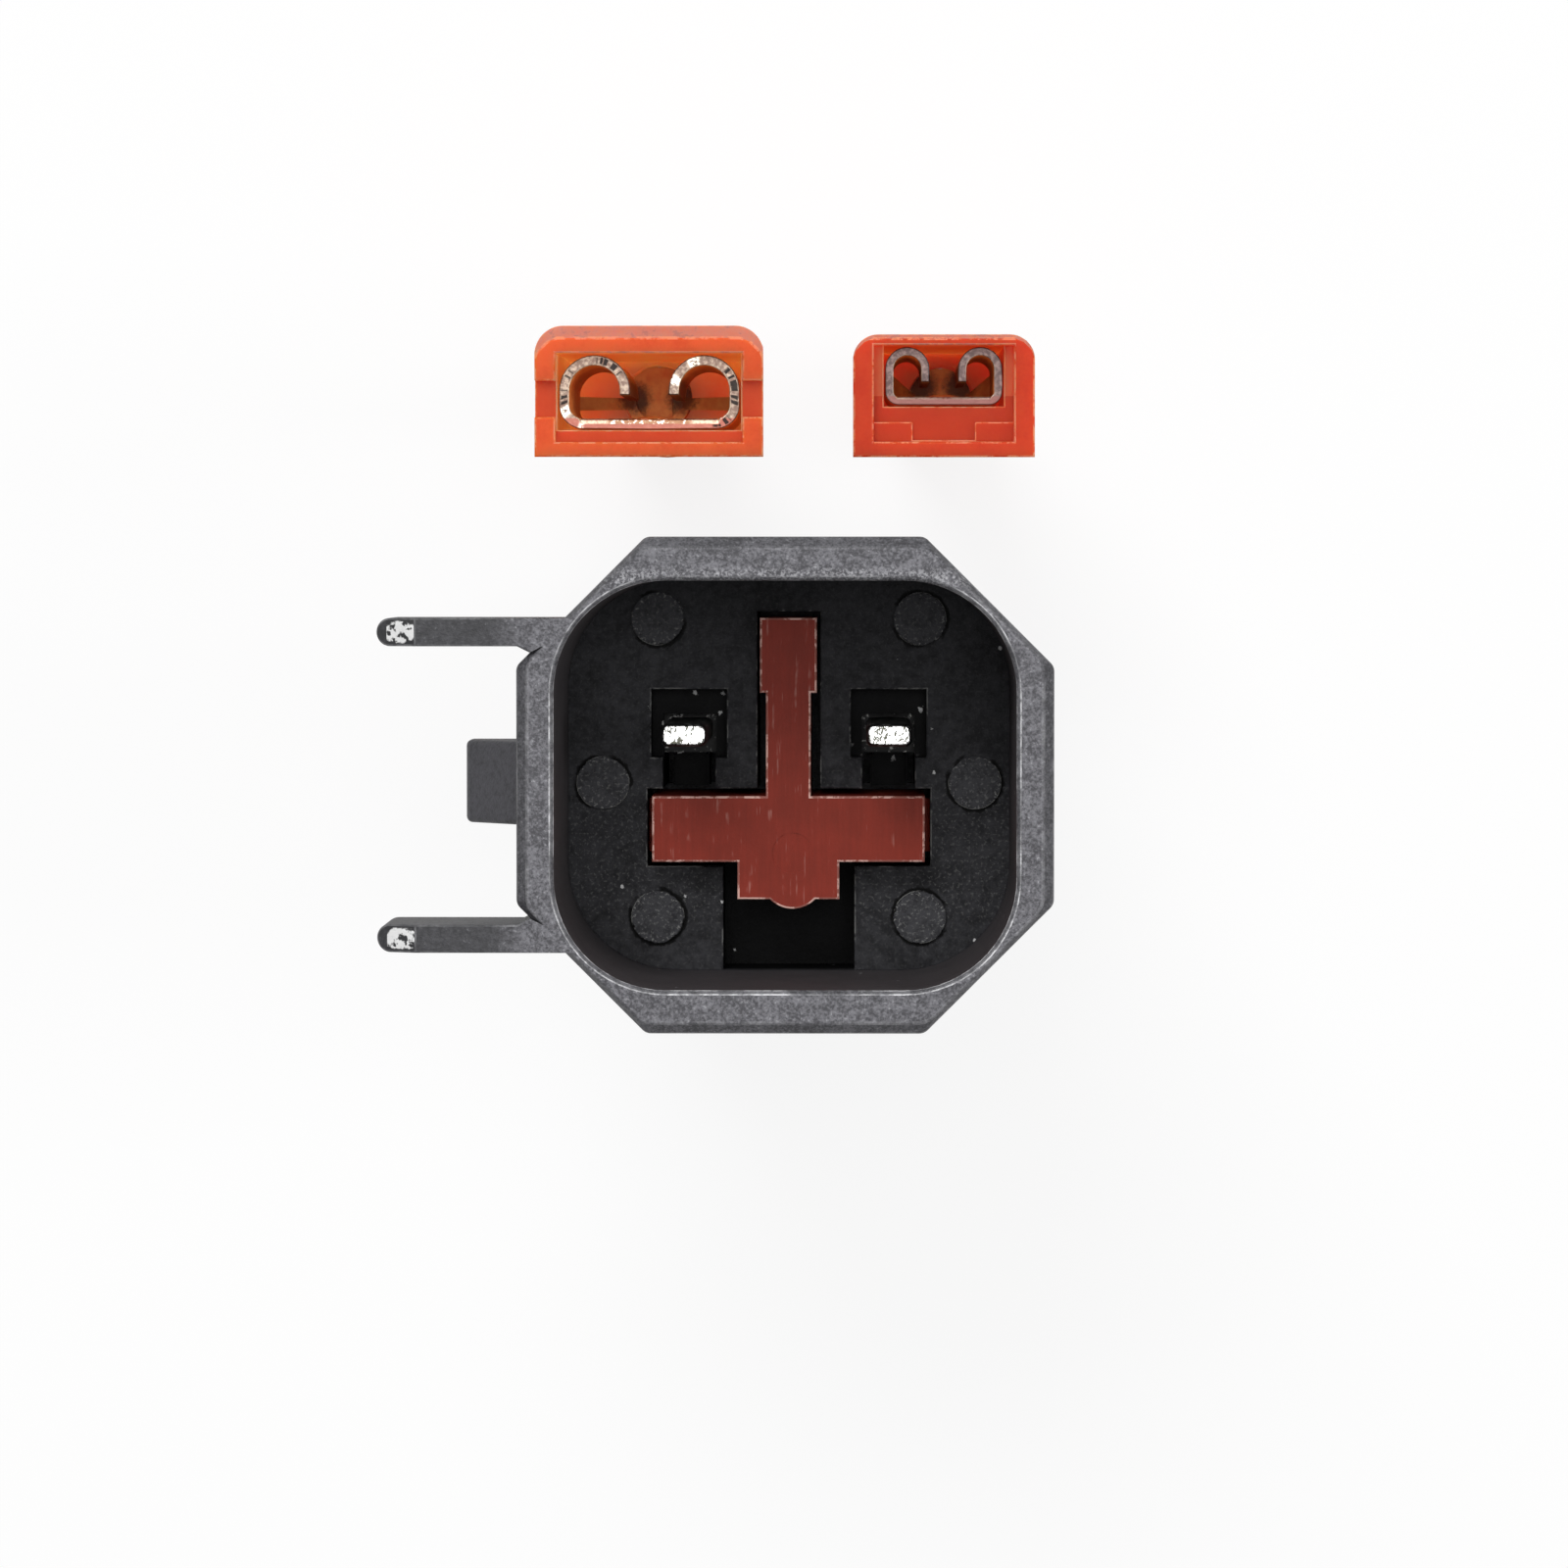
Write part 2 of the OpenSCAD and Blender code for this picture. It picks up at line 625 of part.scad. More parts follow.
// Outside of an insulator: mouth part with a bevelled brow, conical shoulder and round wire end
module insulator_body(w, h, r, brow, len, cell, wire_d, axis) {
    z_cell = len - cell;
    far = w + h;
    slope = (w / 2 - wire_d / 2) / shoulder_len;
    difference() {
        intersection() {
            translate([0, 0, z_cell - shoulder_len])
                linear_extrude(cell + shoulder_len) sleeve_outline(w, h, r);
            translate([0, axis, z_cell - shoulder_len])
                rotate_extrude() polygon([[0, 0], [wire_d / 2, 0], [wire_d / 2 + far * slope, far],
                                          [far * slope + far, far + len], [0, far + len]]);
        }
        brow_cut(w, h, r, brow, len);
        draft_cut(w, h, len, z_cell - shoulder_len);
    }
    translate([0, axis, 0]) cylinder(d = wire_d, h = z_cell - shoulder_len + eps);
}

// Bores for the crimp sleeve, the wire barrel and the neck, on the wire end's axis
module insulator_bore(axis, stock, top) {
    f = sleeve_fit;
    grip_r = wire_bore_d / 2 + crimp_t + f;
    barrel_r = barrel_bore_d / 2 + stock + f;
    neck_r = barrel_r + crimp_t + f;
    z_step = z_barrel_end - 0.9;
    seal_r = barrel_r - f / 2;
    translate([0, axis, 0]) rotate_extrude()
        polygon([[0, -1], [grip_r + wire_end_wall / 2, -1], [grip_r + wire_end_wall / 2, 0], [grip_r, funnel_len],
                 [grip_r, z_grip_end - 0.5], [neck_r, z_grip_end], [neck_r, z_step], [seal_r, z_step],
                 [seal_r, z_step + 0.3], [barrel_r, z_step + 0.3], [barrel_r, top], [0, top]]);
}

// Room for the neck between the bore and the receptacle's seat
module neck_room(axis, stock, low, seat) {
    f = sleeve_fit;
    barrel_low = axis - barrel_bore_d / 2 - stock;
    block([-neck_half_w - f, min(low, barrel_low) - f, z_barrel_end - 0.5],
          [neck_half_w + f, axis, seat + eps]);
}

// Tube that grips the wire's insulation and reaches over the wire barrel, with a lip under the barrel's end
module crimp_sleeve(axis, stock) {
    in_r = barrel_bore_d / 2 + stock + sleeve_fit;
    lip_r = barrel_bore_d / 2 + 0.4 * stock;
    wide_r = wire_bore_d / 2;
    end = z_barrel_end - 1;
    translate([0, axis, 0]) rotate_extrude()
        polygon([[wide_r, funnel_len], [wide_r + crimp_t, funnel_len], [wide_r + crimp_t, z_grip_end - 0.5],
                 [in_r + crimp_t, z_grip_end], [in_r + crimp_t, end], [in_r, end],
                 [in_r, z_grip_end + 0.05], [lip_r, z_grip_end + 0.05], [lip_r, z_grip_end],
                 [wide_r, z_grip_end - 0.5]]);
}

// Section of a receptacle: flat floor, round lower corners and two rolled edges
module rolled_section(w, h, stock, roll_r, side_r, tab_t) {
    roll_y = h - roll_r;
    translate([side_r - w / 2, 0]) square([w - 2 * side_r, stock]);
    for (side = [0, 1]) mirror([side, 0]) {
        translate([side_r - w / 2, side_r]) intersection() {
            difference() {
                circle(side_r);
                circle(side_r - stock);
            }
            translate([-side_r, -side_r]) square(side_r);
        }
        translate([-w / 2, side_r]) square([stock, roll_y - side_r]);
        translate([roll_r - w / 2, roll_y]) intersection() {
            difference() {
                circle(roll_r);
                circle(roll_r - stock);
            }
            translate([-roll_r, 0]) square([2 * roll_r, roll_r]);
        }
        translate([2 * roll_r - stock - w / 2, stock + tab_t]) square([stock, roll_y - stock - tab_t]);
    }
}

// Lower half of the wire barrel, carried on to the receptacle
module neck_trough(axis, stock, z0, z1) {
    r = barrel_bore_d / 2 + stock;
    translate([0, axis, z0]) difference() {
        cylinder(r = r, h = z1 - z0);
        translate([0, 0, -1]) cylinder(r = r - stock, h = z1 - z0 + 2);
        block([-2 * r, 0, -1], [2 * r, 2 * r, z1 - z0 + 1]);
    }
}

// Slanting plate between the trough and the receptacle's side
module neck_wing(w, stock, low, side_r, roll_y, axis, z0) {
    r = barrel_bore_d / 2 + stock;
    hull() {
        block([w / 2 - stock, low + side_r, z_roll - eps], [w / 2, low + roll_y, z_roll + 0.1]);
        block([r - stock, axis - 0.4, z0], [r, axis, z0 + 0.1]);
    }
}

// Receptacle with its detent, neck and wire barrel
module receptacle(w, h, stock, roll_r, side_r, tab_t, roll_len, low, out_h, axis) {
    barrel_d = barrel_bore_d + 2 * stock;
    barrel_low = axis - barrel_d / 2;
    wide = w / 2 - side_r;
    z_taper = z_roll - 1.2;
    z_neck = z_barrel_end - 0.4;
    translate([0, low, z_roll]) linear_extrude(roll_len) rolled_section(w, h, stock, roll_r, side_r, tab_t);
    // Detent pressed up from the floor
    intersection() {
        translate([0, low + stock + 0.16 - 2.6, z_roll + roll_len * 0.55]) sphere(2.6);
        block([-2, low + stock / 2, z_roll], [2, low + stock + 1, z_roll + roll_len]);
    }
    // Neck, tapered in width and stepped in height
    intersection() {
        sweep_y(0, out_h,
                [[-wide, z_roll + 0.1], [-wide, z_roll], [-neck_half_w, z_taper], [-neck_half_w, z_neck],
                 [neck_half_w, z_neck], [neck_half_w, z_taper], [wide, z_roll], [wide, z_roll + 0.1]]);
        sweep_x(w,
                [[low, z_roll + 0.1], [low + stock, z_roll + 0.1], [low + stock, z_taper],
                 [barrel_low + stock, z_barrel_end], [barrel_low + stock, z_neck], [barrel_low, z_neck],
                 [barrel_low, z_barrel_end], [low, z_taper]]);
    }
    neck_trough(axis, stock, z_barrel_end - eps, z_taper + 0.25);
    for (side = [0, 1]) mirror([side, 0, 0]) neck_wing(w, stock, low, side_r, h - roll_r, axis, z_taper + 0.1);
    translate([0, barrel_low, 0]) rolled_barrel(barrel_d, stock, z_grip_end + 0.1, z_barrel_end);
    // Wire stop that closes the barrel's front and its seam, with a tab on it
    translate([0, axis, z_barrel_end - wire_stop]) cylinder(d = barrel_bore_d + 0.2, h = wire_stop);
    block([-stop_half_w, barrel_low + stock / 2, z_barrel_end - wire_stop],
          [stop_half_w, axis + barrel_bore_d / 2, z_barrel_end + 0.3]);
    block([-0.1, axis, z_barrel_end - wire_stop], [0.1, axis + barrel_d / 2 - 0.02, z_barrel_end]);
}

large_low = large_wall_floor + large_mouth_below;
small_low = small_wall_floor + small_mouth_below;

module large_insulator() {
    f = sleeve_fit;
    mouth_w = large_w + 2 * large_mouth_side;
    roof = large_low + large_roll_h + f;
    relief_mid = large_low + large_stock + large_tab_t / 2 + 0.25;
    seat = z_roll - 1.2;
    wire_d = wire_bore_d + 2 * (crimp_t + f + wire_end_wall);
    color(ORANGE) at_large() difference() {
        insulator_body(large_out_w, large_out_h, large_corner_r, large_brow, large_len, large_len - seat + 0.7,
                       wire_d, large_axis);
        block([-mouth_w / 2, large_wall_floor, large_len - mouth_step], [mouth_w / 2, roof, large_len + 1]);
        block([-large_w / 2 - f, large_low - f, seat], [large_w / 2 + f, roof, large_len + 1]);
        block([-large_out_w / 2 - 1, relief_mid - large_relief_h / 2, large_len - large_relief_t],
              [large_out_w / 2 + 1, relief_mid + large_relief_h / 2, large_len + 1]);
        insulator_bore(large_axis, large_stock, seat + 0.5);
        neck_room(large_axis, large_stock, large_low, seat);
    }
}

module small_insulator() {
    f = sleeve_fit;
    mouth_w = small_w + 2 * small_mouth_side;
    roof = small_low + small_roll_h + f;
    seat = z_roll - 1.2;
    wire_d = wire_bore_d + 2 * (crimp_t + f + wire_end_wall);
    color(ORANGE) at_small() difference() {
        insulator_body(small_out_w, small_out_h, small_corner_r, small_brow, small_len, small_len - seat + 0.7,
                       wire_d, small_axis);
        block([-mouth_w / 2, small_wall_floor, small_len - mouth_step], [mouth_w / 2, roof, small_len + 1]);
        block([-small_w / 2 - f, small_low - f, seat], [small_w / 2 + f, roof, small_len + 1]);
        // Room under the receptacle, with a ledge on each side of a notch
        block([-mouth_w / 2, small_low - 0.58, small_len - set_back], [mouth_w / 2, roof, small_len + 1]);
        block([-small_notch_w / 2, small_wall_floor + 0.06, small_len - set_back],
              [small_notch_w / 2, roof, small_len + 1]);
        insulator_bore(small_axis, small_stock, seat + 0.5);
        neck_room(small_axis, small_stock, small_low, seat);
    }
}

module large_receptacle() {
    color(TIN) at_large()
        receptacle(large_w, large_roll_h, large_stock, large_roll_r, large_side_r, large_tab_t, large_roll_len,
                   large_low, large_out_h, large_axis);
}

module small_receptacle() {
    color(TIN) at_small()
        receptacle(small_w, small_roll_h, small_stock, small_roll_r, small_side_r, small_tab_t, small_roll_len,
                   small_low, small_out_h, small_axis);
}

module large_crimp_sleeve() {
    color(COPPER) at_large() crimp_sleeve(large_axis, large_stock);
}

module small_crimp_sleeve() {
    color(COPPER) at_small() crimp_sleeve(small_axis, small_stock);
}

plug_housing();
wedge_lock();
left_blade_contact();
right_blade_contact();
large_insulator();
large_receptacle();
large_crimp_sleeve();
small_insulator();
small_receptacle();
small_crimp_sleeve();
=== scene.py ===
"""Dresses the speaker harness adapter: a plug with its wedge lock, and two insulated push-on terminals."""

from __future__ import annotations

import logging
import math
from collections.abc import Callable, Sequence
from dataclasses import dataclass
from enum import Enum

import bmesh
import bpy
from bmesh.types import BMEdge, BMesh, BMVert
from mathutils import Matrix, Vector


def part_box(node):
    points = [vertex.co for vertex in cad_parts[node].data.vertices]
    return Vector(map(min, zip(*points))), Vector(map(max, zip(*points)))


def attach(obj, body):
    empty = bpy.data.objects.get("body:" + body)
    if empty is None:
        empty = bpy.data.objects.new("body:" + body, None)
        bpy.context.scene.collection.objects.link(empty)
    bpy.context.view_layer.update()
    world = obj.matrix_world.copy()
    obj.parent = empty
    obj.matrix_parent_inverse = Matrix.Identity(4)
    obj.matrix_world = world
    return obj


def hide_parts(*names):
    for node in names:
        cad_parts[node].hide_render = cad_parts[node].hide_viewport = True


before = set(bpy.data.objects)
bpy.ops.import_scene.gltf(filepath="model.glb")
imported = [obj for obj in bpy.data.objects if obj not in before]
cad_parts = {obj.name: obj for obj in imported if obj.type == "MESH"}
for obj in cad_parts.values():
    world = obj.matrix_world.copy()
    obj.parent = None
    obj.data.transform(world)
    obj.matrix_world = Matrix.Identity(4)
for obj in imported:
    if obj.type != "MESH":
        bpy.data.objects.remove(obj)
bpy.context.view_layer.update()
MM = 0.001
LOG = logging.getLogger("harness_adapter")
Pair = tuple[float, float]
Triple = tuple[float, float, float]
Colour = Triple
WHITE: Colour = (1.0, 1.0, 1.0)


class Val:
    """One value of a shader, with the operators that its maths is written in."""

    def __init__(self, nodes: Nodes, socket: bpy.types.NodeSocket) -> None:
        """Keeps the socket and the nodes that it belongs to."""
        self.nodes = nodes
        self.socket = socket

    def math(self, operation: str, *values: Val | float) -> Val:
        """Adds one Math node and returns its result."""
        return self.nodes.node("ShaderNodeMath", {"operation": operation}, dict(enumerate(values)))

    def __add__(self, other: Val | float) -> Val:
        """This value plus another."""
        return self.math("ADD", self, other)

    def __radd__(self, other: float) -> Val:
        """A number plus this value."""
        return self.math("ADD", other, self)

    def __sub__(self, other: Val | float) -> Val:
        """This value less another."""
        return self.math("SUBTRACT", self, other)

    def __rsub__(self, other: float) -> Val:
        """A number less this value."""
        return self.math("SUBTRACT", other, self)

    def __mul__(self, other: Val | float) -> Val:
        """This value times another."""
        return self.math("MULTIPLY", self, other)

    def __rmul__(self, other: float) -> Val:
        """A number times this value."""
        return self.math("MULTIPLY", other, self)

    def __pow__(self, other: float) -> Val:
        """This value to a power."""
        return self.math("POWER", self, other)

    def __abs__(self) -> Val:
        """This value without its sign."""
        return self.math("ABSOLUTE", self)

    def hypot(self, other: Val) -> Val:
        """Length of the slanted side over this value and another."""
        return (self * self + other * other) ** 0.5

    def highest(self, other: Val | float) -> Val:
        """The larger of two values."""
        return self.math("MAXIMUM", self, other)

    def step(self, low: float, high: float) -> Val:
        """Smooth step of this value.

        Args:
            low: Value at which the step is 0.
            high: Value at which it is 1; it may be the lower of the two.

        Returns:
            The step, from 0 to 1.
        """
        settings = {"interpolation_type": "SMOOTHSTEP"}
        sockets = {"Value": self, "From Min": low, "From Max": high}
        return self.nodes.node("ShaderNodeMapRange", settings, sockets)

    def step_mm(self, low: float, high: float) -> Val:
        """Smooth step of this value, a length in metres, between two lengths in millimetres."""
        return self.step(low * MM, high * MM)


Link = Val | float | Sequence[float]


class Nodes:
    """A node tree in the making."""

    def __init__(self, tree: bpy.types.NodeTree, kind: str) -> None:
        """Empties the tree and adds its output node.

        Args:
            tree: The tree of a material or of the surroundings.
            kind: Type of the output node.
        """
        self.tree = tree
        self.tree.nodes.clear()
        self.output = self.tree.nodes.new(kind)

    def plug(self, socket: bpy.types.NodeSocket, value: Link) -> None:
        """Links a value to a socket, or sets the number or colour on it.

        Args:
            socket: The input that takes the value.
            value: The value; a colour may leave out its alpha.
        """
        if isinstance(value, Val):
            self.tree.links.new(value.socket, socket)
        elif isinstance(value, Sequence) and socket.type == "RGBA" and len(value) == 3:
            socket.default_value = (*value, 1.0)
        else:
            socket.default_value = value

    def node(
        self,
        kind: str,
        settings: dict[str, object] | None = None,
        sockets: dict[str | int, Link] | None = None,
        out: str | int = 0,
    ) -> Val:
        """Adds one node.

        Args:
            kind: Type of the node.
            settings: Its properties, set before its sockets.
            sockets: Values or links of its inputs, by name or number.
            out: Name or number of the output that is used.

        Returns:
            That output.
        """
        made = self.tree.nodes.new(kind)
        for key, value in (settings or {}).items():
            setattr(made, key, value)
        for key, value in (sockets or {}).items():
            self.plug(made.inputs[key], value)
        return Val(self, made.outputs[out])

    def show(self, surface: Val) -> None:
        """Links a shader to the output node."""
        self.plug(self.output.inputs["Surface"], surface)

    def seen(self) -> Val:
        """Tells rays by where they come from.

        Returns:
            1 for a ray from the camera, a gloss or a clear surface, and 0 for others.
        """
        camera = self.node("ShaderNodeLightPath", out="Is Camera Ray")
        gloss = self.node("ShaderNodeLightPath", out="Is Glossy Ray")
        clear = self.node("ShaderNodeLightPath", out="Is Transmission Ray")
        return camera.highest(gloss).highest(clear)


class Paint(Nodes):
    """A material in the making, with patterns on Object coordinates, which are in metres."""

    def __init__(self, name: str) -> None:
        """Starts a material with one principled shader.

        Args:
            name: Name of the material.
        """
        self.material = bpy.data.materials.new(name)
        self.material.use_nodes = True
        super().__init__(self.material.node_tree, "ShaderNodeOutputMaterial")
        self.shader = self.tree.nodes.new("ShaderNodeBsdfPrincipled")
        self.show(Val(self, self.shader.outputs[0]))
        self.place = self.node("ShaderNodeTexCoord", out="Object")

    def axis(self, name: str) -> Val:
        """One of the Object coordinates, X, Y or Z."""
        return self.node("ShaderNodeSeparateXYZ", None, {"Vector": self.place}, name)

    def spot(self, per_mm: float, stretch: Triple = (1.0, 1.0, 1.0), shift: float = 0.0) -> Val:
        """Object coordinates scaled for a pattern.

        Args:
            per_mm: Cells of the pattern in a millimetre.
            stretch: Factor for each axis.
            shift: Shift that sets two patterns apart.

        Returns:
            The scaled coordinates.
        """
        scale = [per_mm / MM * factor for factor in stretch]
        sockets = {"Vector": self.place, "Scale": scale, "Location": (shift, 0.7 * shift, 1.3 * shift)}
        return self.node("ShaderNodeMapping", None, sockets)

    def noise(
        self,
        per_mm: float,
        detail: float = 2.0,
        rough: float = 0.55,
        stretch: Triple = (1.0, 1.0, 1.0),
        shift: float = 0.0,
    ) -> Val:
        """Cloudy noise from 0 to 1, with its middle at one half.

        Args:
            per_mm: Clouds in a millimetre.
            detail: Number of finer layers.
            rough: Strength of the finer layers.
            stretch: Factor for each axis.
            shift: Shift that sets two patterns apart.

        Returns:
            The noise.
        """
        where = self.spot(per_mm, stretch, shift)
        sockets = {"Vector": where, "Scale": 1.0, "Detail": detail, "Roughness": rough}
        return self.node("ShaderNodeTexNoise", None, sockets, "Fac")

    def specks(self, per_mm: float, size: float, share: float, shift: float = 0.0) -> Val:
        """Scattered small specks with ragged outlines.

        Args:
            per_mm: Cells in a millimetre.
            size: Radius of a speck as a part of a cell.
            share: Part of the cells that hold one.
            shift: Shift that sets two patterns apart.

        Returns:
            1 on a speck and 0 elsewhere.
        """
        where = self.spot(per_mm, shift=shift)
        far = self.node("ShaderNodeTexVoronoi", None, {"Vector": where, "Scale": 1.0}, "Distance")
        shade = self.node("ShaderNodeTexVoronoi", None, {"Vector": where, "Scale": 1.0}, "Color")
        pick = self.node("ShaderNodeSeparateColor", None, {"Color": shade}, "Red")
        ragged = far + (self.noise(9.0, 2.0, 0.6, shift=shift) - 0.5) * (3.0 * size)
        return ragged.step(size, 0.7 * size) * pick.step(share, 0.97 * share)

    def mask(self, name: str) -> Val:
        """An attribute of the piece."""
        return self.node("ShaderNodeAttribute", {"attribute_name": name}, out="Fac")

    def blend(self, amount: Link, low: Link, high: Link) -> Val:
        """Colour between two, by an amount from 0 to 1."""
        return self.node("ShaderNodeMix", {"data_type": "RGBA"}, {0: amount, 6: low, 7: high}, 2)

    def bump(self, height: Val, depth: float) -> Val:
        """Normal of a rough surface.

        Args:
            height: Height pattern from 0 to 1.
            depth: Its full height in millimetres.

        Returns:
            The normal.
        """
        sockets = {"Height": height, "Distance": depth * MM, "Strength": 1.0}
        return self.node("ShaderNodeBump", None, sockets)

    def done(self, **values: Link) -> bpy.types.Material:
        """Sets the principled shader's sockets.

        Args:
            values: Values or links by the names of the sockets, with underscores for spaces.

        Returns:
            The material.
        """
        for key, value in values.items():
            self.plug(self.shader.inputs[key.replace("_", " ")], value)
        return self.material


@dataclass(frozen=True)
class GrainedNylon:
    """Black nylon outside: grey and mottled on the rim, partly texture and partly painted sheen, darker on
    rails and ramp, with pale edges that are partly wear and partly painted highlight, and a painted
    highlight on each rail's nose.
    """

    slot: str = "black_nylon"
    dark: Colour = (0.014, 0.014, 0.016)
    body: Colour = (0.028, 0.028, 0.032)
    rim_dark: Colour = (0.044, 0.043, 0.049)
    rim_pale: Colour = (0.175, 0.173, 0.19)
    ramp: Colour = (0.044, 0.043, 0.051)
    wear_and_highlight: Colour = (0.72, 0.72, 0.74)
    # white: painted highlight on the rails' noses
    white: Colour = (0.75, 0.75, 0.75)
    rail_x: Pair = (-8.0, -9.6)
    nose: Pair = (-12.3, 4.9)
    nose_highlight: Pair = (0.62, 0.36)
    brow_y: Triple = (6.25, 6.6, 7.1)

    def material(self) -> bpy.types.Material:
        """Builds the finish.

        Returns:
            Its material.
        """
        paint = Paint(f"{self.slot}_grained")
        cloud = paint.noise(1.1, 2.0, 0.6)
        coarse = paint.noise(4.6, 4.0, 0.75, shift=3.0)
        fine = paint.noise(13.0, 2.0, 0.6, shift=5.0)
        x = paint.axis("X")
        y = paint.axis("Y")
        outside = x.step_mm(self.rail_x[0], self.rail_x[1])
        # The rim's grey is partly its scuffed texture and partly painted sheen of the light from the
        # front; its bevel gets about half, as painted shade of the tilted face.
        front = paint.mask("front") * (1.0 - 0.9 * outside)
        mottle = (0.2 * cloud + 0.42 * coarse + 0.38 * fine).step(0.41, 0.6)
        tone = paint.blend(coarse.step(0.35, 0.7), self.dark, self.body)
        tone = paint.blend(front, tone, paint.blend(mottle, self.rim_dark, self.rim_pale))
        ramp = paint.mask("ramp")
        tone = paint.blend(ramp * (0.3 + 0.7 * coarse.step(0.3, 0.6)), tone, self.ramp)
        speck = fine.step(0.6, 0.7) * coarse.step(0.5, 0.62) * (0.3 + 0.7 * front) * (1.0 - ramp)
        tone = paint.blend(speck * 0.3, tone, self.wear_and_highlight)
        top = y.step_mm(self.brow_y[0], self.brow_y[1])
        brow = top * y.step_mm(self.brow_y[2], self.brow_y[1]) * front * (1.0 - outside)
        tone = paint.blend(brow * fine.step(0.48, 0.6) * 0.3, tone, self.wear_and_highlight)
        # Pale edges: partly wear and partly painted highlight on the rounded edges, kept faint near the
        # top of the rim, where the mouth's edge faces away from the light.
        ragged = paint.noise(1.9, 4.0, 0.75, shift=7.0).step(0.38, 0.6)
        kept = paint.noise(0.42, 2.0, 0.5, shift=11.0).step(0.36, 0.56)
        edge = paint.mask("edge") * (0.25 + 0.75 * ragged) * (0.25 + 0.75 * kept) * (1.0 - 0.75 * top)
        tone = paint.blend(edge * 0.95, tone, self.wear_and_highlight)
        # Painted highlight: each rail's sloping nose is painted dark, with a ragged white patch where its
        # gloss would catch the light.
        across = (abs(y) - self.nose[1] * MM) * (1.0 / self.nose_highlight[1])
        ahead = (x - self.nose[0] * MM) * (1.0 / self.nose_highlight[0])
        reach = ahead.hypot(across) + (coarse - 0.5) * (0.9 * MM)
        torn = paint.noise(3.1, 3.0, 0.6, shift=8.0).step(0.43, 0.5)
        nose_highlight = reach.step_mm(1.0, 0.86) * torn
        nose = paint.mask("nose")
        tone = paint.blend(nose, tone, self.dark)
        tone = paint.blend(nose * nose_highlight, tone, self.white)
        return paint.done(
            Base_Color=tone,
            Roughness=0.62 - 0.2 * coarse,
            Specular_IOR_Level=0.35,
            Normal=paint.bump(0.7 * coarse + 0.3 * fine, 0.045),
        )


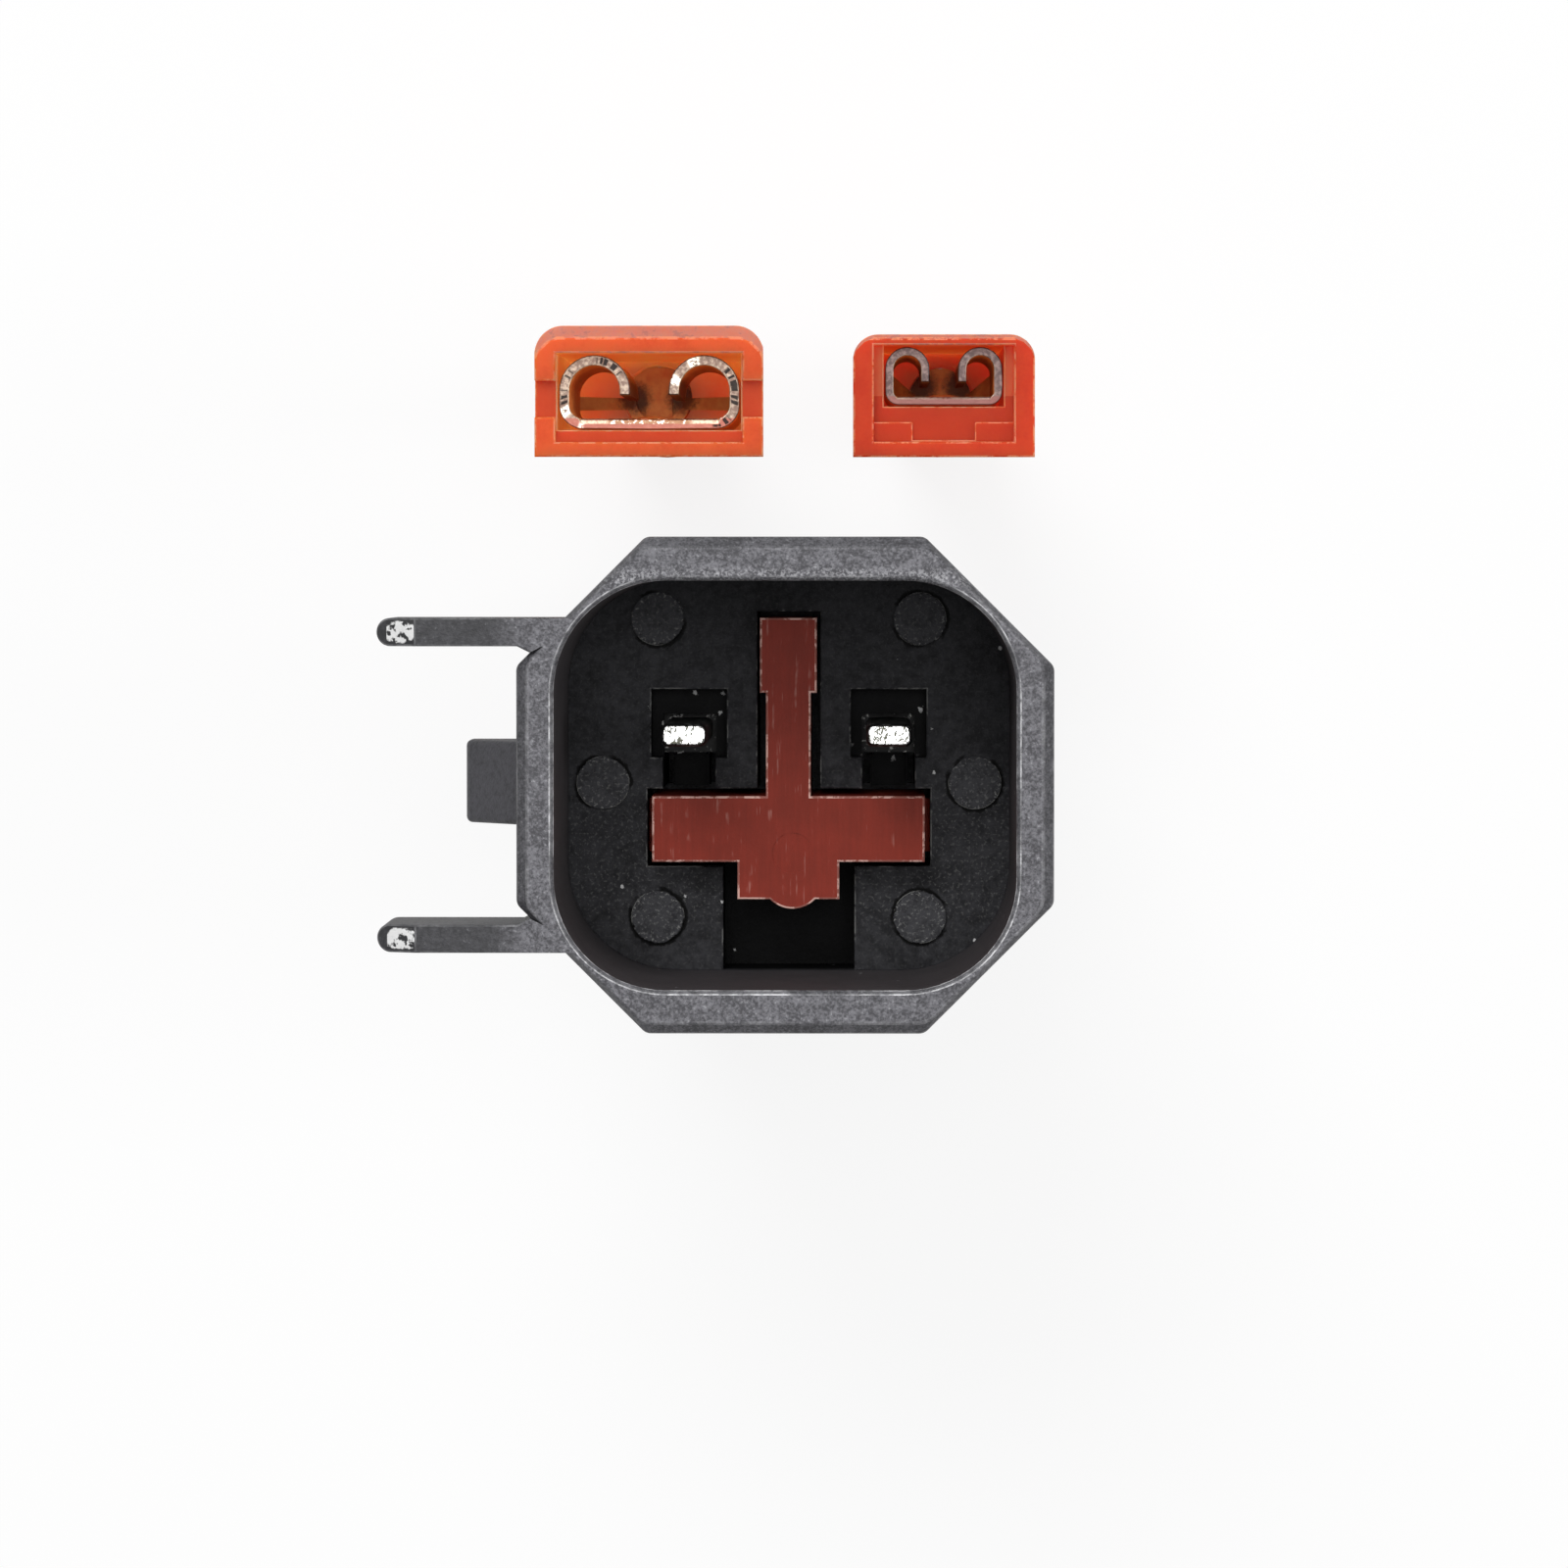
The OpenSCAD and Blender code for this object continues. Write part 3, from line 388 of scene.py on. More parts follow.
@dataclass(frozen=True)
class SocketNylon:
    """The nylon inside the socket: nearly black, with speckled ejector marks, edges partly worn and partly
    painted highlight, and dust; painted shadow rings round the marks, painted black shade in the deep
    pockets, painted light on the walls and on a band low on the floor, and painted glints beside the
    blades.
    """

    floor_z: float
    marks: Sequence[Pair]
    mark_r: float
    contact: Pair
    slot: str = "black_nylon"
    deep: Colour = (0.015, 0.015, 0.0165)
    dusty: Colour = (0.041, 0.041, 0.045)
    wall: Colour = (0.066, 0.06, 0.063)
    cap: Colour = (0.055, 0.055, 0.06)
    wear_and_highlight: Colour = (0.2, 0.2, 0.195)
    bright: Colour = (0.6, 0.6, 0.6)
    # black: painted shade, for the rings round the marks and the deep pockets
    black: Colour = (0.002, 0.002, 0.002)

    @staticmethod
    def near(x: Val, y: Val, spot: Pair) -> Val:
        """Distance to a spot on the floor, or to its mirror image where that is nearer, in metres."""
        return (abs(x) - spot[0] * MM).hypot(y - spot[1] * MM)

    def material(self) -> bpy.types.Material:
        """Builds the finish.

        Returns:
            Its material.
        """
        paint = Paint(f"{self.slot}_socket")
        x = paint.axis("X")
        y = paint.axis("Y")
        z = paint.axis("Z")
        cloud = paint.noise(0.7, 3.0, 0.6)
        coarse = paint.noise(3.4, 4.0, 0.72, shift=3.0)
        fine = paint.noise(9.0, 3.0, 0.65, shift=5.0)
        far = self.near(x, y, self.marks[0])
        for spot in self.marks[1:]:
            far = far.math("MINIMUM", far, self.near(x, y, spot))
        under = z.step_mm(self.floor_z + 0.3, self.floor_z + 0.2)
        level = z.step_mm(self.floor_z - 0.1, self.floor_z - 0.02) * under
        wobble = far + (coarse - 0.5) * (0.26 * MM)
        inside = wobble.step_mm(self.mark_r, self.mark_r - 0.05) * level
        border = wobble.step_mm(self.mark_r - 0.28, self.mark_r - 0.06) * inside
        # Painted shadow: a broken black ring round each ejector mark, where its raised edge would cast
        # shade.
        shadow = wobble.step_mm(self.mark_r - 0.06, self.mark_r - 0.01)
        ring = shadow * wobble.step_mm(self.mark_r + 0.12, self.mark_r + 0.06) * level
        tone = paint.blend((0.4 * cloud + 0.6 * coarse).step(0.34, 0.66), self.deep, self.dusty)
        # Painted light: the socket's walls are painted lighter than the floor, standing in for light that
        # reaches them.
        rise = z.step_mm(self.floor_z + 0.3, self.floor_z + 0.6)
        tone = paint.blend(rise * (0.5 + 0.5 * cloud), tone, self.wall)
        tone = paint.blend(inside * (0.35 + 0.65 * coarse.step(0.35, 0.6)), tone, self.cap)
        # The band low on the floor gets more pale specks, as painted light where the light falls; the
        # other specks are wear.
        low = y.step_mm(0.3, -1.2) * y.step_mm(-5.5, -4.2)
        speck = fine.step(0.53, 0.66) * (0.1 + 0.2 * low + 0.24 * inside + 0.7 * border)
        tone = paint.blend(speck, tone, self.wear_and_highlight)
        tone = paint.blend(ring * paint.noise(0.9, 2.0, 0.5, shift=12.0).step(0.4, 0.5), tone, self.black)
        # Painted shade: the deep pockets below the floor are painted nearly black.
        sunk = z.step_mm(self.floor_z - 0.1, self.floor_z - 0.4)
        tone = paint.blend(sunk * 0.9, tone, self.black)
        # Pale edges: partly wear and partly painted highlight on the rounded edges.
        edge = paint.mask("edge") * paint.noise(0.9, 4.0, 0.7, shift=9.0).step(0.48, 0.58)
        tone = paint.blend(edge * 0.65, tone, self.wear_and_highlight)
        # Dust all over, and pale painted glints in the recess beside each blade.
        beside = self.near(x, y, self.contact).step_mm(1.7, 1.2)
        dust_and_glints = paint.specks(0.85, 0.055, 0.4).highest(paint.specks(2.1, 0.19, 0.42, 6.0) * beside)
        tone = paint.blend(dust_and_glints * 0.8, tone, self.bright)
        return paint.done(
            Base_Color=tone,
            Roughness=0.45 + 0.2 * fine,
            Specular_IOR_Level=0.05,
            Normal=paint.bump(0.7 * coarse + 0.3 * fine, 0.03),
        )


@dataclass(frozen=True)
class RustPlastic:
    """Brown-red plastic with fine lines along its length and pale flash on its edges."""

    slot: str = "rust_plastic"
    dark: Colour = (0.205, 0.023, 0.012)
    mid: Colour = (0.255, 0.028, 0.015)
    pale: Colour = (0.85, 0.53, 0.46)

    def material(self) -> bpy.types.Material:
        """Builds the finish.

        Returns:
            Its material.
        """
        paint = Paint(self.slot)
        lines = paint.noise(7.0, 3.0, 0.6, (1.0, 0.07, 0.07))
        cloud = paint.noise(0.8, 3.0, 0.6, shift=2.0)
        grain = paint.noise(12.0, 2.0, 0.6, shift=4.0)
        tone = paint.blend((0.4 * lines + 0.6 * cloud).step(0.32, 0.66), self.dark, self.mid)
        scratch = lines.step(0.58, 0.68) * paint.noise(1.2, 2.0, 0.6, shift=9.0).step(0.48, 0.6)
        tone = paint.blend(scratch * 0.17, tone, self.pale)
        edge = paint.mask("edge") * (0.22 + 0.78 * paint.noise(1.7, 4.0, 0.75, shift=6.0).step(0.48, 0.56))
        tone = paint.blend(edge, tone, self.pale)
        return paint.done(
            Base_Color=tone,
            Roughness=0.6 - 0.1 * grain,
            Specular_IOR_Level=0.15,
            Normal=paint.bump(0.6 * lines + 0.4 * grain, 0.012),
        )


@dataclass(frozen=True)
class BrightTin:
    """Bright tin plating on the blades' ends, cracked with grey, and painted dark below as shade in the
    recess, with pale painted glints there.
    """

    slot: str = "tinned_contact"
    bright: Colour = (0.97, 0.97, 0.96)
    mark: Colour = (0.045, 0.045, 0.036)
    # dull: painted shade of the recess; pale: painted glints in it
    dull: Colour = (0.02, 0.02, 0.02)
    pale: Colour = (0.3, 0.3, 0.29)
    tip_z: float = 25.99

    def material(self) -> bpy.types.Material:
        """Builds the finish.

        Returns:
            Its material.
        """
        paint = Paint(self.slot)
        cloud = paint.noise(4.0, 4.0, 0.7)
        crack = paint.noise(2.3, 4.0, 0.7, (1.0, 0.45, 1.0), 2.0)
        marks = abs(crack - 0.5).step(0.045, 0.015)
        marks = marks.highest(crack.step(0.58, 0.66)).highest(0.6 * cloud.step(0.58, 0.7))
        tone = paint.blend(marks, self.bright, self.mark)
        # Painted shade: below the tip the contact is painted dark, as it lies in the shade of the recess,
        # with pale patches as painted glints.
        height = paint.axis("Z")
        low = height.step_mm(self.tip_z, self.tip_z - 0.06)
        tone = paint.blend(low, tone, paint.blend(cloud.step(0.56, 0.68), self.dull, self.pale))
        return paint.done(
            Base_Color=tone,
            Metallic=1.0,
            Roughness=0.25 + 0.15 * cloud + 0.25 * low,
            Normal=paint.bump(cloud, 0.012),
        )


@dataclass(frozen=True)
class OrangeNylon:
    """Clear orange nylon that lets light through, with a faint painted glow where one is set, pale on its
    edges, partly scuffed and partly painted highlight, and scuffed pale on the bevelled brow.
    """

    name: str
    deep: Colour
    mid: Colour
    reach: Triple = (1.6, 0.6, 0.25)
    # glow: painted glow, for light coming through the nylon
    glow: float = 0.0
    slot: str = "orange_nylon"
    pale: Colour = (0.8, 0.27, 0.15)
    scuff: Colour = (0.5, 0.24, 0.19)
    shade: Colour = (0.28, 0.12, 0.12)
    red: Colour = (0.47, 0.035, 0.006)

    def material(self) -> bpy.types.Material:
        """Builds the finish.

        Returns:
            Its material.
        """
        paint = Paint(f"{self.slot}_{self.name}")
        cloud = paint.noise(0.45, 3.0, 0.6)
        grain = paint.noise(8.0, 3.0, 0.65, shift=2.0)
        tone = paint.blend((0.75 * cloud + 0.25 * grain).step(0.3, 0.62), self.deep, self.mid)
        tone = paint.blend(paint.mask("sunk") * 0.6, tone, self.red)
        # Pale edges: partly scuffing and partly painted highlight on the rounded edges.
        edge = paint.mask("edge") * paint.noise(2.4, 3.0, 0.7, shift=4.0).step(0.4, 0.56)
        brow = paint.mask("brow")
        blotch = paint.noise(3.0, 3.0, 0.7, shift=9.0)
        tone = paint.blend(brow * (0.4 + 0.6 * blotch), tone, self.scuff)
        tone = paint.blend(brow * blotch.step(0.54, 0.66) * 0.45, tone, self.shade)
        tone = paint.blend(edge * 0.8, tone, self.pale)
        return paint.done(
            Base_Color=tone,
            Roughness=0.4 + 0.18 * grain,
            Specular_IOR_Level=0.1,
            Normal=paint.bump(0.6 * grain + 0.4 * cloud, 0.01),
            Subsurface_Weight=1.0,
            Subsurface_Radius=self.reach,
            Subsurface_Scale=MM,
            # A faint emission where glow is set: painted glow that stands in for light coming through the
            # nylon.
            Emission_Color=tone,
            Emission_Strength=self.glow,
        )


class Side(Enum):
    """The two rolled edges of a receptacle, by the sign of their place."""

    LEFT = -1.0
    RIGHT = 1.0


@dataclass(frozen=True)
class Stretch:
    """Part of a rolled edge, between two angles in degrees: 0 is its outer side and 90 its top."""

    side: Side
    start: float
    end: float


@dataclass(frozen=True)
class TinnedBrass:
    """Thin tin over brass: golden inside, painted more orange as a reflection of the nylon and with
    painted shadow near the rolled tips, with a grey cut edge that carries dark dashes in some stretches,
    partly shear marks and partly painted dark reflection, and painted glints and sparkles.
    """

    name: str
    roll: Triple
    dark_dashes: Sequence[Stretch]
    glints: Sequence[Stretch]
    sparkle: float
    silver: Colour
    bright: Colour
    line: Colour
    base: Colour
    floor_y: float
    tip: Pair
    slot: str = "tinned_brass"
    gold: Colour = (0.98, 0.44, 0.12)
    brown: Colour = (0.88, 0.32, 0.08)
    tip_shadow: Colour = (0.08, 0.03, 0.012)
    dim: Colour = (0.2, 0.08, 0.03)
    shade: Colour = (0.014, 0.012, 0.012)
    white: Colour = (0.98, 0.94, 0.82)
    fade: float = 0.06

    def stretches(self, aside: Val, angle: Val, chosen: Sequence[Stretch]) -> Val:
        """Where the chosen stretches lie.

        Args:
            aside: Distance to the right of the receptacle's middle.
            angle: Angle about the rolled edge in radians.
            chosen: The stretches.

        Returns:
            1 on a stretch and 0 elsewhere.
        """
        total = aside * 0.0
        for stretch in chosen:
            start = math.radians(stretch.start)
            end = math.radians(stretch.end)
            here = angle.step(start - self.fade, start + self.fade)
            here = here * angle.step(end + self.fade, end - self.fade)
            total = total.highest(here * (aside * stretch.side.value).step_mm(0.0, 0.1))
        return total

    def material(self) -> bpy.types.Material:
        """Builds the finish.

        Returns:
            Its material.
        """
        paint = Paint(f"{self.slot}_{self.name}")
        middle_x, half, middle_y = self.roll
        aside = paint.axis("X") - middle_x * MM
        above = paint.axis("Y") - middle_y * MM
        outward = abs(aside) - half * MM
        angle = above.math("ARCTAN2", above, outward)
        cloud = paint.noise(1.3, 4.0, 0.65)
        grain = paint.noise(11.0, 3.0, 0.65, shift=3.0)
        fleck = paint.noise(7.0, 3.0, 0.7, shift=8.0)
        cut = paint.mask("cut")
        core = paint.mask("core")
        metal = paint.blend(fleck.step(0.4, 0.68), self.silver, self.bright)
        below = self.floor_y - middle_y
        metal = paint.blend(above.step_mm(below + 0.06, below - 0.02) * 0.85, metal, self.base)
        sockets = {"W": 6.0 * angle, "Scale": 1.0, "Detail": 0.0}
        stripe = paint.node("ShaderNodeTexNoise", {"noise_dimensions": "1D"}, sockets, "Fac")
        # Dark dashes on the cut edge in some stretches: partly shear marks, partly painted dark
        # reflection.
        torn = self.stretches(aside, angle, self.dark_dashes) * core
        dark = torn * (stripe + 0.25 * (fleck - 0.5)).step(0.45, 0.5)
        # Painted glints on the cut edge in some stretches.
        glint = self.stretches(aside, angle, self.glints) * cut * fleck.step(0.4, 0.52)
        metal = paint.blend(dark * 0.95, metal, self.shade)
        metal = paint.blend(glint * 0.85, metal, self.white)
        metal = paint.blend(paint.mask("outer") * (0.35 + 0.5 * grain), metal, self.shade)
        metal = paint.blend(paint.mask("inner") * grain.step(0.3, 0.56) * 0.8, metal, self.line)
        # Painted sparkles along the lip of the floor.
        within = abs(aside).step_mm(self.sparkle + 0.1, self.sparkle - 0.1)
        lip = paint.mask("lip") * within
        metal = paint.blend(lip * 0.8, metal, self.dim)
        metal = paint.blend(lip * fleck.step(0.53, 0.6), metal, self.white)
        # The brass inside is painted more orange than bare brass: partly its own gold, partly painted
        # reflection of the orange nylon round it.
        brass = paint.blend(cloud.step(0.36, 0.62), self.brown, self.gold)
        # Painted shadow on the brass inside the rolled edges, near their tips.
        beside = abs(aside) - self.tip[0] * MM
        over = above - self.tip[1] * MM
        far = beside.hypot(over) + (fleck - 0.5) * (0.5 * MM)
        brass = paint.blend(far.step_mm(0.75, 0.3) * 0.9, brass, self.tip_shadow)
        tone = paint.blend(cut, brass, metal)
        return paint.done(
            Base_Color=tone,
            Metallic=0.2 + 0.7 * cut,
            Roughness=0.5 - 0.15 * cut + 0.2 * grain,
            Normal=paint.bump(0.5 * grain + 0.5 * dark, 0.02),
        )


@dataclass(frozen=True)
class CopperSleeve:
    """Plain rolled copper alloy, dulled in patches."""

    name: str
    slot: str = "copper_sleeve"
    bright: Colour = (0.72, 0.42, 0.24)
    dull: Colour = (0.36, 0.19, 0.1)

    def material(self) -> bpy.types.Material:
        """Builds the finish.

        Returns:
            Its material.
        """
        paint = Paint(f"{self.slot}_{self.name}")
        cloud = paint.noise(1.4, 4.0, 0.65)
        lines = paint.noise(10.0, 2.0, 0.6, (1.0, 1.0, 0.06), 3.0)
        tone = paint.blend((0.6 * cloud + 0.4 * lines).step(0.34, 0.62), self.dull, self.bright)
        return paint.done(
            Base_Color=tone,
            Metallic=1.0,
            Roughness=0.3 + 0.2 * cloud,
            Normal=paint.bump(lines, 0.01),
        )


class Corner:
    """An edge of a piece as it is chosen for rounding, in millimetres."""

    def __init__(self, edge: BMEdge) -> None:
        """Measures the edge.

        Args:
            edge: The edge.
        """
        first, second = edge.verts
        self.middle: Vector = (first.co + second.co) / (2.0 * MM)
        self.along: Vector = (second.co - first.co).normalized()
        self.rises: list[float] = sorted(face.normal.z for face in edge.link_faces)
        self.convex: bool = edge.is_convex
        self.straight: bool = max(abs(part) for part in self.along) > 0.98

    def at(self, height: float, play: float = 0.03) -> bool:
        """Whether the edge lies at that height."""
        return abs(self.middle.z - height) < play


@dataclass(frozen=True)
class Rounding:
    """Edges that are rounded alike, by a width in millimetres."""

    picks: Callable[[Corner], bool]
    width: float
    segments: int = 2
    # How strongly the rounding's faces are marked as edge, which the finishes paint pale as wear and
    # painted highlight.
    edge_strength: float = 1.0


class Copy:
    """A merged copy of a CAD node, rounded and marked, that stands for it.

    Points closer than same_point are one, and sides shorter than leftover are left from a rounding,
    both in metres. The angles, in degrees, are those up to which two faces are one flat face or level,
    and up to which shading runs on over an edge, or over the seam of a rounding.
    """

    same_point = 1e-7
    leftover = 2e-6
    flat_angle = 1.0
    level_angle = 0.3
    smooth_angle = 38.0
    seam_angle = 8.0

    def __init__(self, node: str, weld: float = 0.002) -> None:
        """Copies the node's mesh, joins its flat faces, and halves them both ways so that none is a ring.

        Args:
            node: Name of the CAD node.
            weld: Distance in millimetres under which points become one.
        """
        self.node = node
        self.mesh: BMesh = bmesh.new()
        self.mesh.from_mesh(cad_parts[node].data)
        bmesh.ops.remove_doubles(self.mesh, verts=self.mesh.verts[:], dist=weld * MM)
        bmesh.ops.dissolve_degenerate(self.mesh, dist=self.same_point, edges=self.mesh.edges[:])
        bmesh.ops.dissolve_limit(
            self.mesh,
            angle_limit=math.radians(self.flat_angle),
            verts=self.mesh.verts[:],
            edges=self.mesh.edges[:],
        )
        low, high = (Vector(corner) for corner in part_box(node))
        self.box: tuple[Vector, Vector] = (low / MM, high / MM)
        for axis in ((1.0, 0.0, 0.0), (0.0, 1.0, 0.0)):
            bmesh.ops.bisect_plane(
                self.mesh,
                geom=self.mesh.verts[:] + self.mesh.edges[:] + self.mesh.faces[:],
                dist=self.same_point,
                plane_co=0.5 * (low + high),
                plane_no=axis,
            )
        self.edge = self.mesh.faces.layers.float.new("edge")
        self.rounded = self.mesh.faces.layers.int.new("rounded")

    def soften(self, roundings: Sequence[Rounding], sharp: float = 24.0) -> None:
        """Rounds edges, and marks the faces of each rounding as an edge.

        Args:
            roundings: What is rounded, in order.
            sharp: Angle in degrees over which an edge counts.
        """
        for rounding in roundings:
            chosen = [
                edge
                for edge in self.mesh.edges
                if edge.is_manifold
                and edge.calc_face_angle() > math.radians(sharp)
                and rounding.picks(Corner(edge))
            ]
            if not chosen:
                LOG.warning("%s: nothing to round at %.2f mm", self.node, rounding.width)
                continue
            made = bmesh.ops.bevel(
                self.mesh,
                geom=chosen,
                offset=rounding.width * MM,
                offset_type="OFFSET",
                segments=rounding.segments,
                profile=0.5,
                affect="EDGES",
                clamp_overlap=False,
                material=-1,
            )
            for face in made["faces"]:
                face[self.edge] = rounding.edge_strength
                face[self.rounded] = 1
        self.trim()

    def trim(self, shortest: float = 0.03) -> None:
        """Takes out the points and spikes that a rounding can leave on a flat face.

        Args:
            shortest: Length in millimetres under which an edge between two level faces is a spike.
        """
        bmesh.ops.dissolve_degenerate(self.mesh, dist=self.leftover, edges=self.mesh.edges[:])

        def on_rounding(point: BMVert) -> bool:
            """Whether a point belongs to a rounding."""
            return any(face[self.rounded] for face in point.link_faces)

        feet: dict[BMVert, BMVert] = {}
        for edge in self.mesh.edges:
            short = edge.is_manifold and edge.calc_length() < shortest * MM
            if short and edge.calc_face_angle() < math.radians(self.level_angle):
                tip, foot = sorted(edge.verts, key=on_rounding)
                if foot not in feet and tip not in feet.values():
                    feet[tip] = foot
        bmesh.ops.weld_verts(self.mesh, targetmap=feet)

    def inset(self, width: float, picks: Callable[[Vector, Vector], bool], name: str) -> None:
        """Sets off the middle of a flat region from its border, and marks it.

        Args:
            width: Width of the border in millimetres.
            picks: Whether a face with that middle in millimetres and that normal is in the region.
            name: Name of the mark.
        """
        layer = self.mesh.faces.layers.float.new(name)
        region = [face for face in self.mesh.faces if picks(face.calc_center_median() / MM, face.normal)]
        bmesh.ops.inset_region(self.mesh, faces=region, thickness=width * MM, use_even_offset=True)
        for face in region:
            face[layer] = 1.0

    def mark(self, name: str, picks: Callable[[Vector, Vector], float]) -> None:
        """Marks faces.

        Args:
            name: Name of the mark.
            picks: How much a face with that middle in millimetres and that normal is marked, from 0 to 1.
        """
        layer = self.mesh.faces.layers.float.new(name)
        for face in self.mesh.faces:
            face[layer] = float(picks(face.calc_center_median() / MM, face.normal))

    def assign(self, index: int, picks: Callable[[Vector, Vector], bool]) -> None:
        """Gives one of the piece's materials to faces.

        Args:
            index: Number of the material.
            picks: Whether a face with that middle in millimetres and that normal takes it.
        """
        for face in self.mesh.faces:
            if picks(face.calc_center_median() / MM, face.normal):
                face.material_index = index

    def finish(self, materials: Sequence[bpy.types.Material], slot: str) -> None:
        """Makes the object, which takes the node's place.

        Args:
            materials: Its materials, in the order of their numbers.
            slot: Not used.
        """
        data = bpy.data.meshes.new(self.node + "_dressed")
        for face in self.mesh.faces:
            face.smooth = True
        for edge in self.mesh.edges:
            rounded = [face[self.rounded] for face in edge.link_faces]
            limit = self.smooth_angle if len(set(rounded)) == 1 else self.seam_angle
            edge.smooth = edge.is_manifold and edge.calc_face_angle() < math.radians(limit)
        self.mesh.to_mesh(data)
        self.mesh.free()
        for material in materials:
            data.materials.append(material)
        made = bpy.data.objects.new(self.node + "_dressed", data)
        bpy.context.collection.objects.link(made)
        normals = made.modifiers.new("flat_faces", "WEIGHTED_NORMAL")
        normals.keep_sharp = True
        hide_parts(self.node)
        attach(made, "root")
        LOG.info("%s: %d faces", made.name, len(data.polygons))


@dataclass
class Plug:
    """The two-way plug: housing, wedge lock and two blade contacts. Lengths are in millimetres."""

    rim_z: float = 30.0
    floor_z: float = 19.5
    mark_z: float = 19.62
    mark_r: float = 0.9
    pocket_z: float = 15.0
    face_z: float = 21.0
    tip_z: float = 26.0
    blade: Pair = (3.35, 1.9)
    socket_half: Pair = (7.4, 6.55)
    corner_sum: float = 11.0
    collar_x: float = 8.6
    rail_x: float = -8.05
    rail_z: float = 25.0
    rail_in_y: float = 4.45
    nose_x: float = -11.6
    ramp_half: float = 1.5
    gate: Pair = (0.14, -2.57)
    gate_r: float = 0.8
    play: float = 0.02

    def in_mouth(self, corner: Corner) -> bool:
        """Tells the inner edge of the rim.

        Args:
            corner: The edge.

        Returns:
            Whether the edge is part of it.
        """
        x, y, _ = corner.middle
        reach = 2.0 * self.play
        inside = abs(x) < self.socket_half[0] + reach and abs(y) < self.socket_half[1] + reach
        return inside and corner.at(self.rim_z) and corner.rises[1] > 0.9 and abs(corner.rises[0]) < 0.2

    def on_collar(self, corner: Corner) -> bool:
        """Tells the bevel round the collar's front.

        Args:
            corner: The edge.

        Returns:
            Whether the edge is on it.
        """
        slanted = 0.3 < corner.rises[0] < 0.98 or 0.3 < corner.rises[1] < 0.98
        level = abs(corner.along.z) < 0.1 and corner.middle.x > -self.collar_x - self.play
        return corner.convex and slanted and level and corner.middle.z > self.rim_z - 0.5

    def on_rail(self, corner: Corner) -> bool:
        """Whether an edge is on a guard rail."""
        x, y, z = corner.middle
        return corner.convex and x < self.rail_x and abs(y) > self.rail_in_y - 0.15 and z > self.rail_z

    def on_ramp(self, corner: Corner) -> bool:
        """Whether an edge is on the lock ramp."""
        x, y, _ = corner.middle
        return corner.convex and x < -self.collar_x - self.play and abs(y) < self.ramp_half

    def on_face(self, corner: Corner) -> bool:
        """Tells the wedge's face, off its gate mark.

        Args:
            corner: The edge.

        Returns:
            Whether the edge is on it.
        """
        x, y, _ = corner.middle
        away = math.hypot(x - self.gate[0], y - self.gate[1]) > self.gate_r
        return corner.convex and corner.at(self.face_z) and away

    def up_blade(self, corner: Corner) -> bool:
        """Whether an edge runs up a blade."""
        return corner.convex and corner.middle.z > self.face_z and abs(corner.along.z) > 0.7

    def on_tip(self, corner: Corner) -> bool:
        """Whether an edge lies across a blade's tip."""
        return corner.convex and corner.middle.z > self.tip_z - 0.5 and abs(corner.along.z) < 0.5

    def in_socket(self, middle: Vector, normal: Vector) -> bool:
        """Tells the inside of the socket.

        Args:
            middle: The face's middle in millimetres.
            normal: Its normal.

        Returns:
            Whether the face lies in it.
        """
        aside, above = abs(middle.x), abs(middle.y)
        within = aside < self.socket_half[0] + self.play and above < self.socket_half[1] + self.play
        outward = normal.x * middle.x + normal.y * middle.y > 0.5 and aside + above > self.corner_sum
        return within and not outward and self.pocket_z < middle.z < self.rim_z - 0.15

    def on_front(self, middle: Vector, normal: Vector) -> float:
        """Tells the mottled front, whose grey is partly painted sheen.

        Args:
            middle: The face's middle in millimetres.
            normal: Its normal.

        Returns:
            1 on the rim, about half on its bevel as painted shade of the tilted face, and 0 elsewhere.
        """
        if normal.z > 0.95 and middle.z > self.rim_z - 0.2:
            return 1.0
        return 0.55 if normal.z > 0.3 and middle.z > self.rim_z - 0.6 else 0.0

    def on_slope(self, middle: Vector, normal: Vector) -> float:
        """Whether a face is part of the lock ramp."""
        return float(middle.x < -self.collar_x - self.play and abs(middle.y) < self.ramp_half)

    def on_nose(self, middle: Vector, normal: Vector) -> float:
        """Whether a face is the sloping nose of a rail."""
        return float(middle.x < self.nose_x and 0.8 < normal.z < 0.95 and abs(normal.y) < 0.2)

    def housing(self) -> None:
        """Rounds the housing's edges and dresses it."""
        copy = Copy("plug_housing", weld=0.026)
        copy.soften(
            [
                Rounding(self.in_mouth, width=0.15),
                Rounding(self.on_collar, width=0.07, edge_strength=0.15),
                Rounding(self.on_ramp, width=0.2, segments=4, edge_strength=0.0),
                Rounding(self.on_rail, width=0.06, edge_strength=0.18),
                Rounding(lambda c: c.convex and c.at(self.floor_z), width=0.05),
                Rounding(lambda c: c.convex and c.at(self.mark_z), width=0.035),
                Rounding(lambda c: c.convex and c.at(0.0), width=0.15, segments=3),
            ]
        )
        copy.mark("front", self.on_front)
        copy.mark("ramp", self.on_slope)
        copy.mark("nose", self.on_nose)
        copy.assign(1, self.in_socket)
        # Ejector marks right of the middle: above, beside and below
        half_w, half_h = self.socket_half
        spots = ((half_w - 3.0, half_h - 1.32), (half_w - 1.16, -0.27), (half_w - 3.0, 1.77 - half_h))
        outer = GrainedNylon()
        inner = SocketNylon(self.floor_z, spots, self.mark_r, self.blade)
        copy.finish([outer.material(), inner.material()], outer.slot)

    def wedge(self) -> None:
        """Rounds the wedge lock's edges and dresses it."""
        copy = Copy("wedge_lock")
        copy.soften([Rounding(self.on_face, width=0.07)])
        finish = RustPlastic()
        copy.finish([finish.material()], finish.slot)

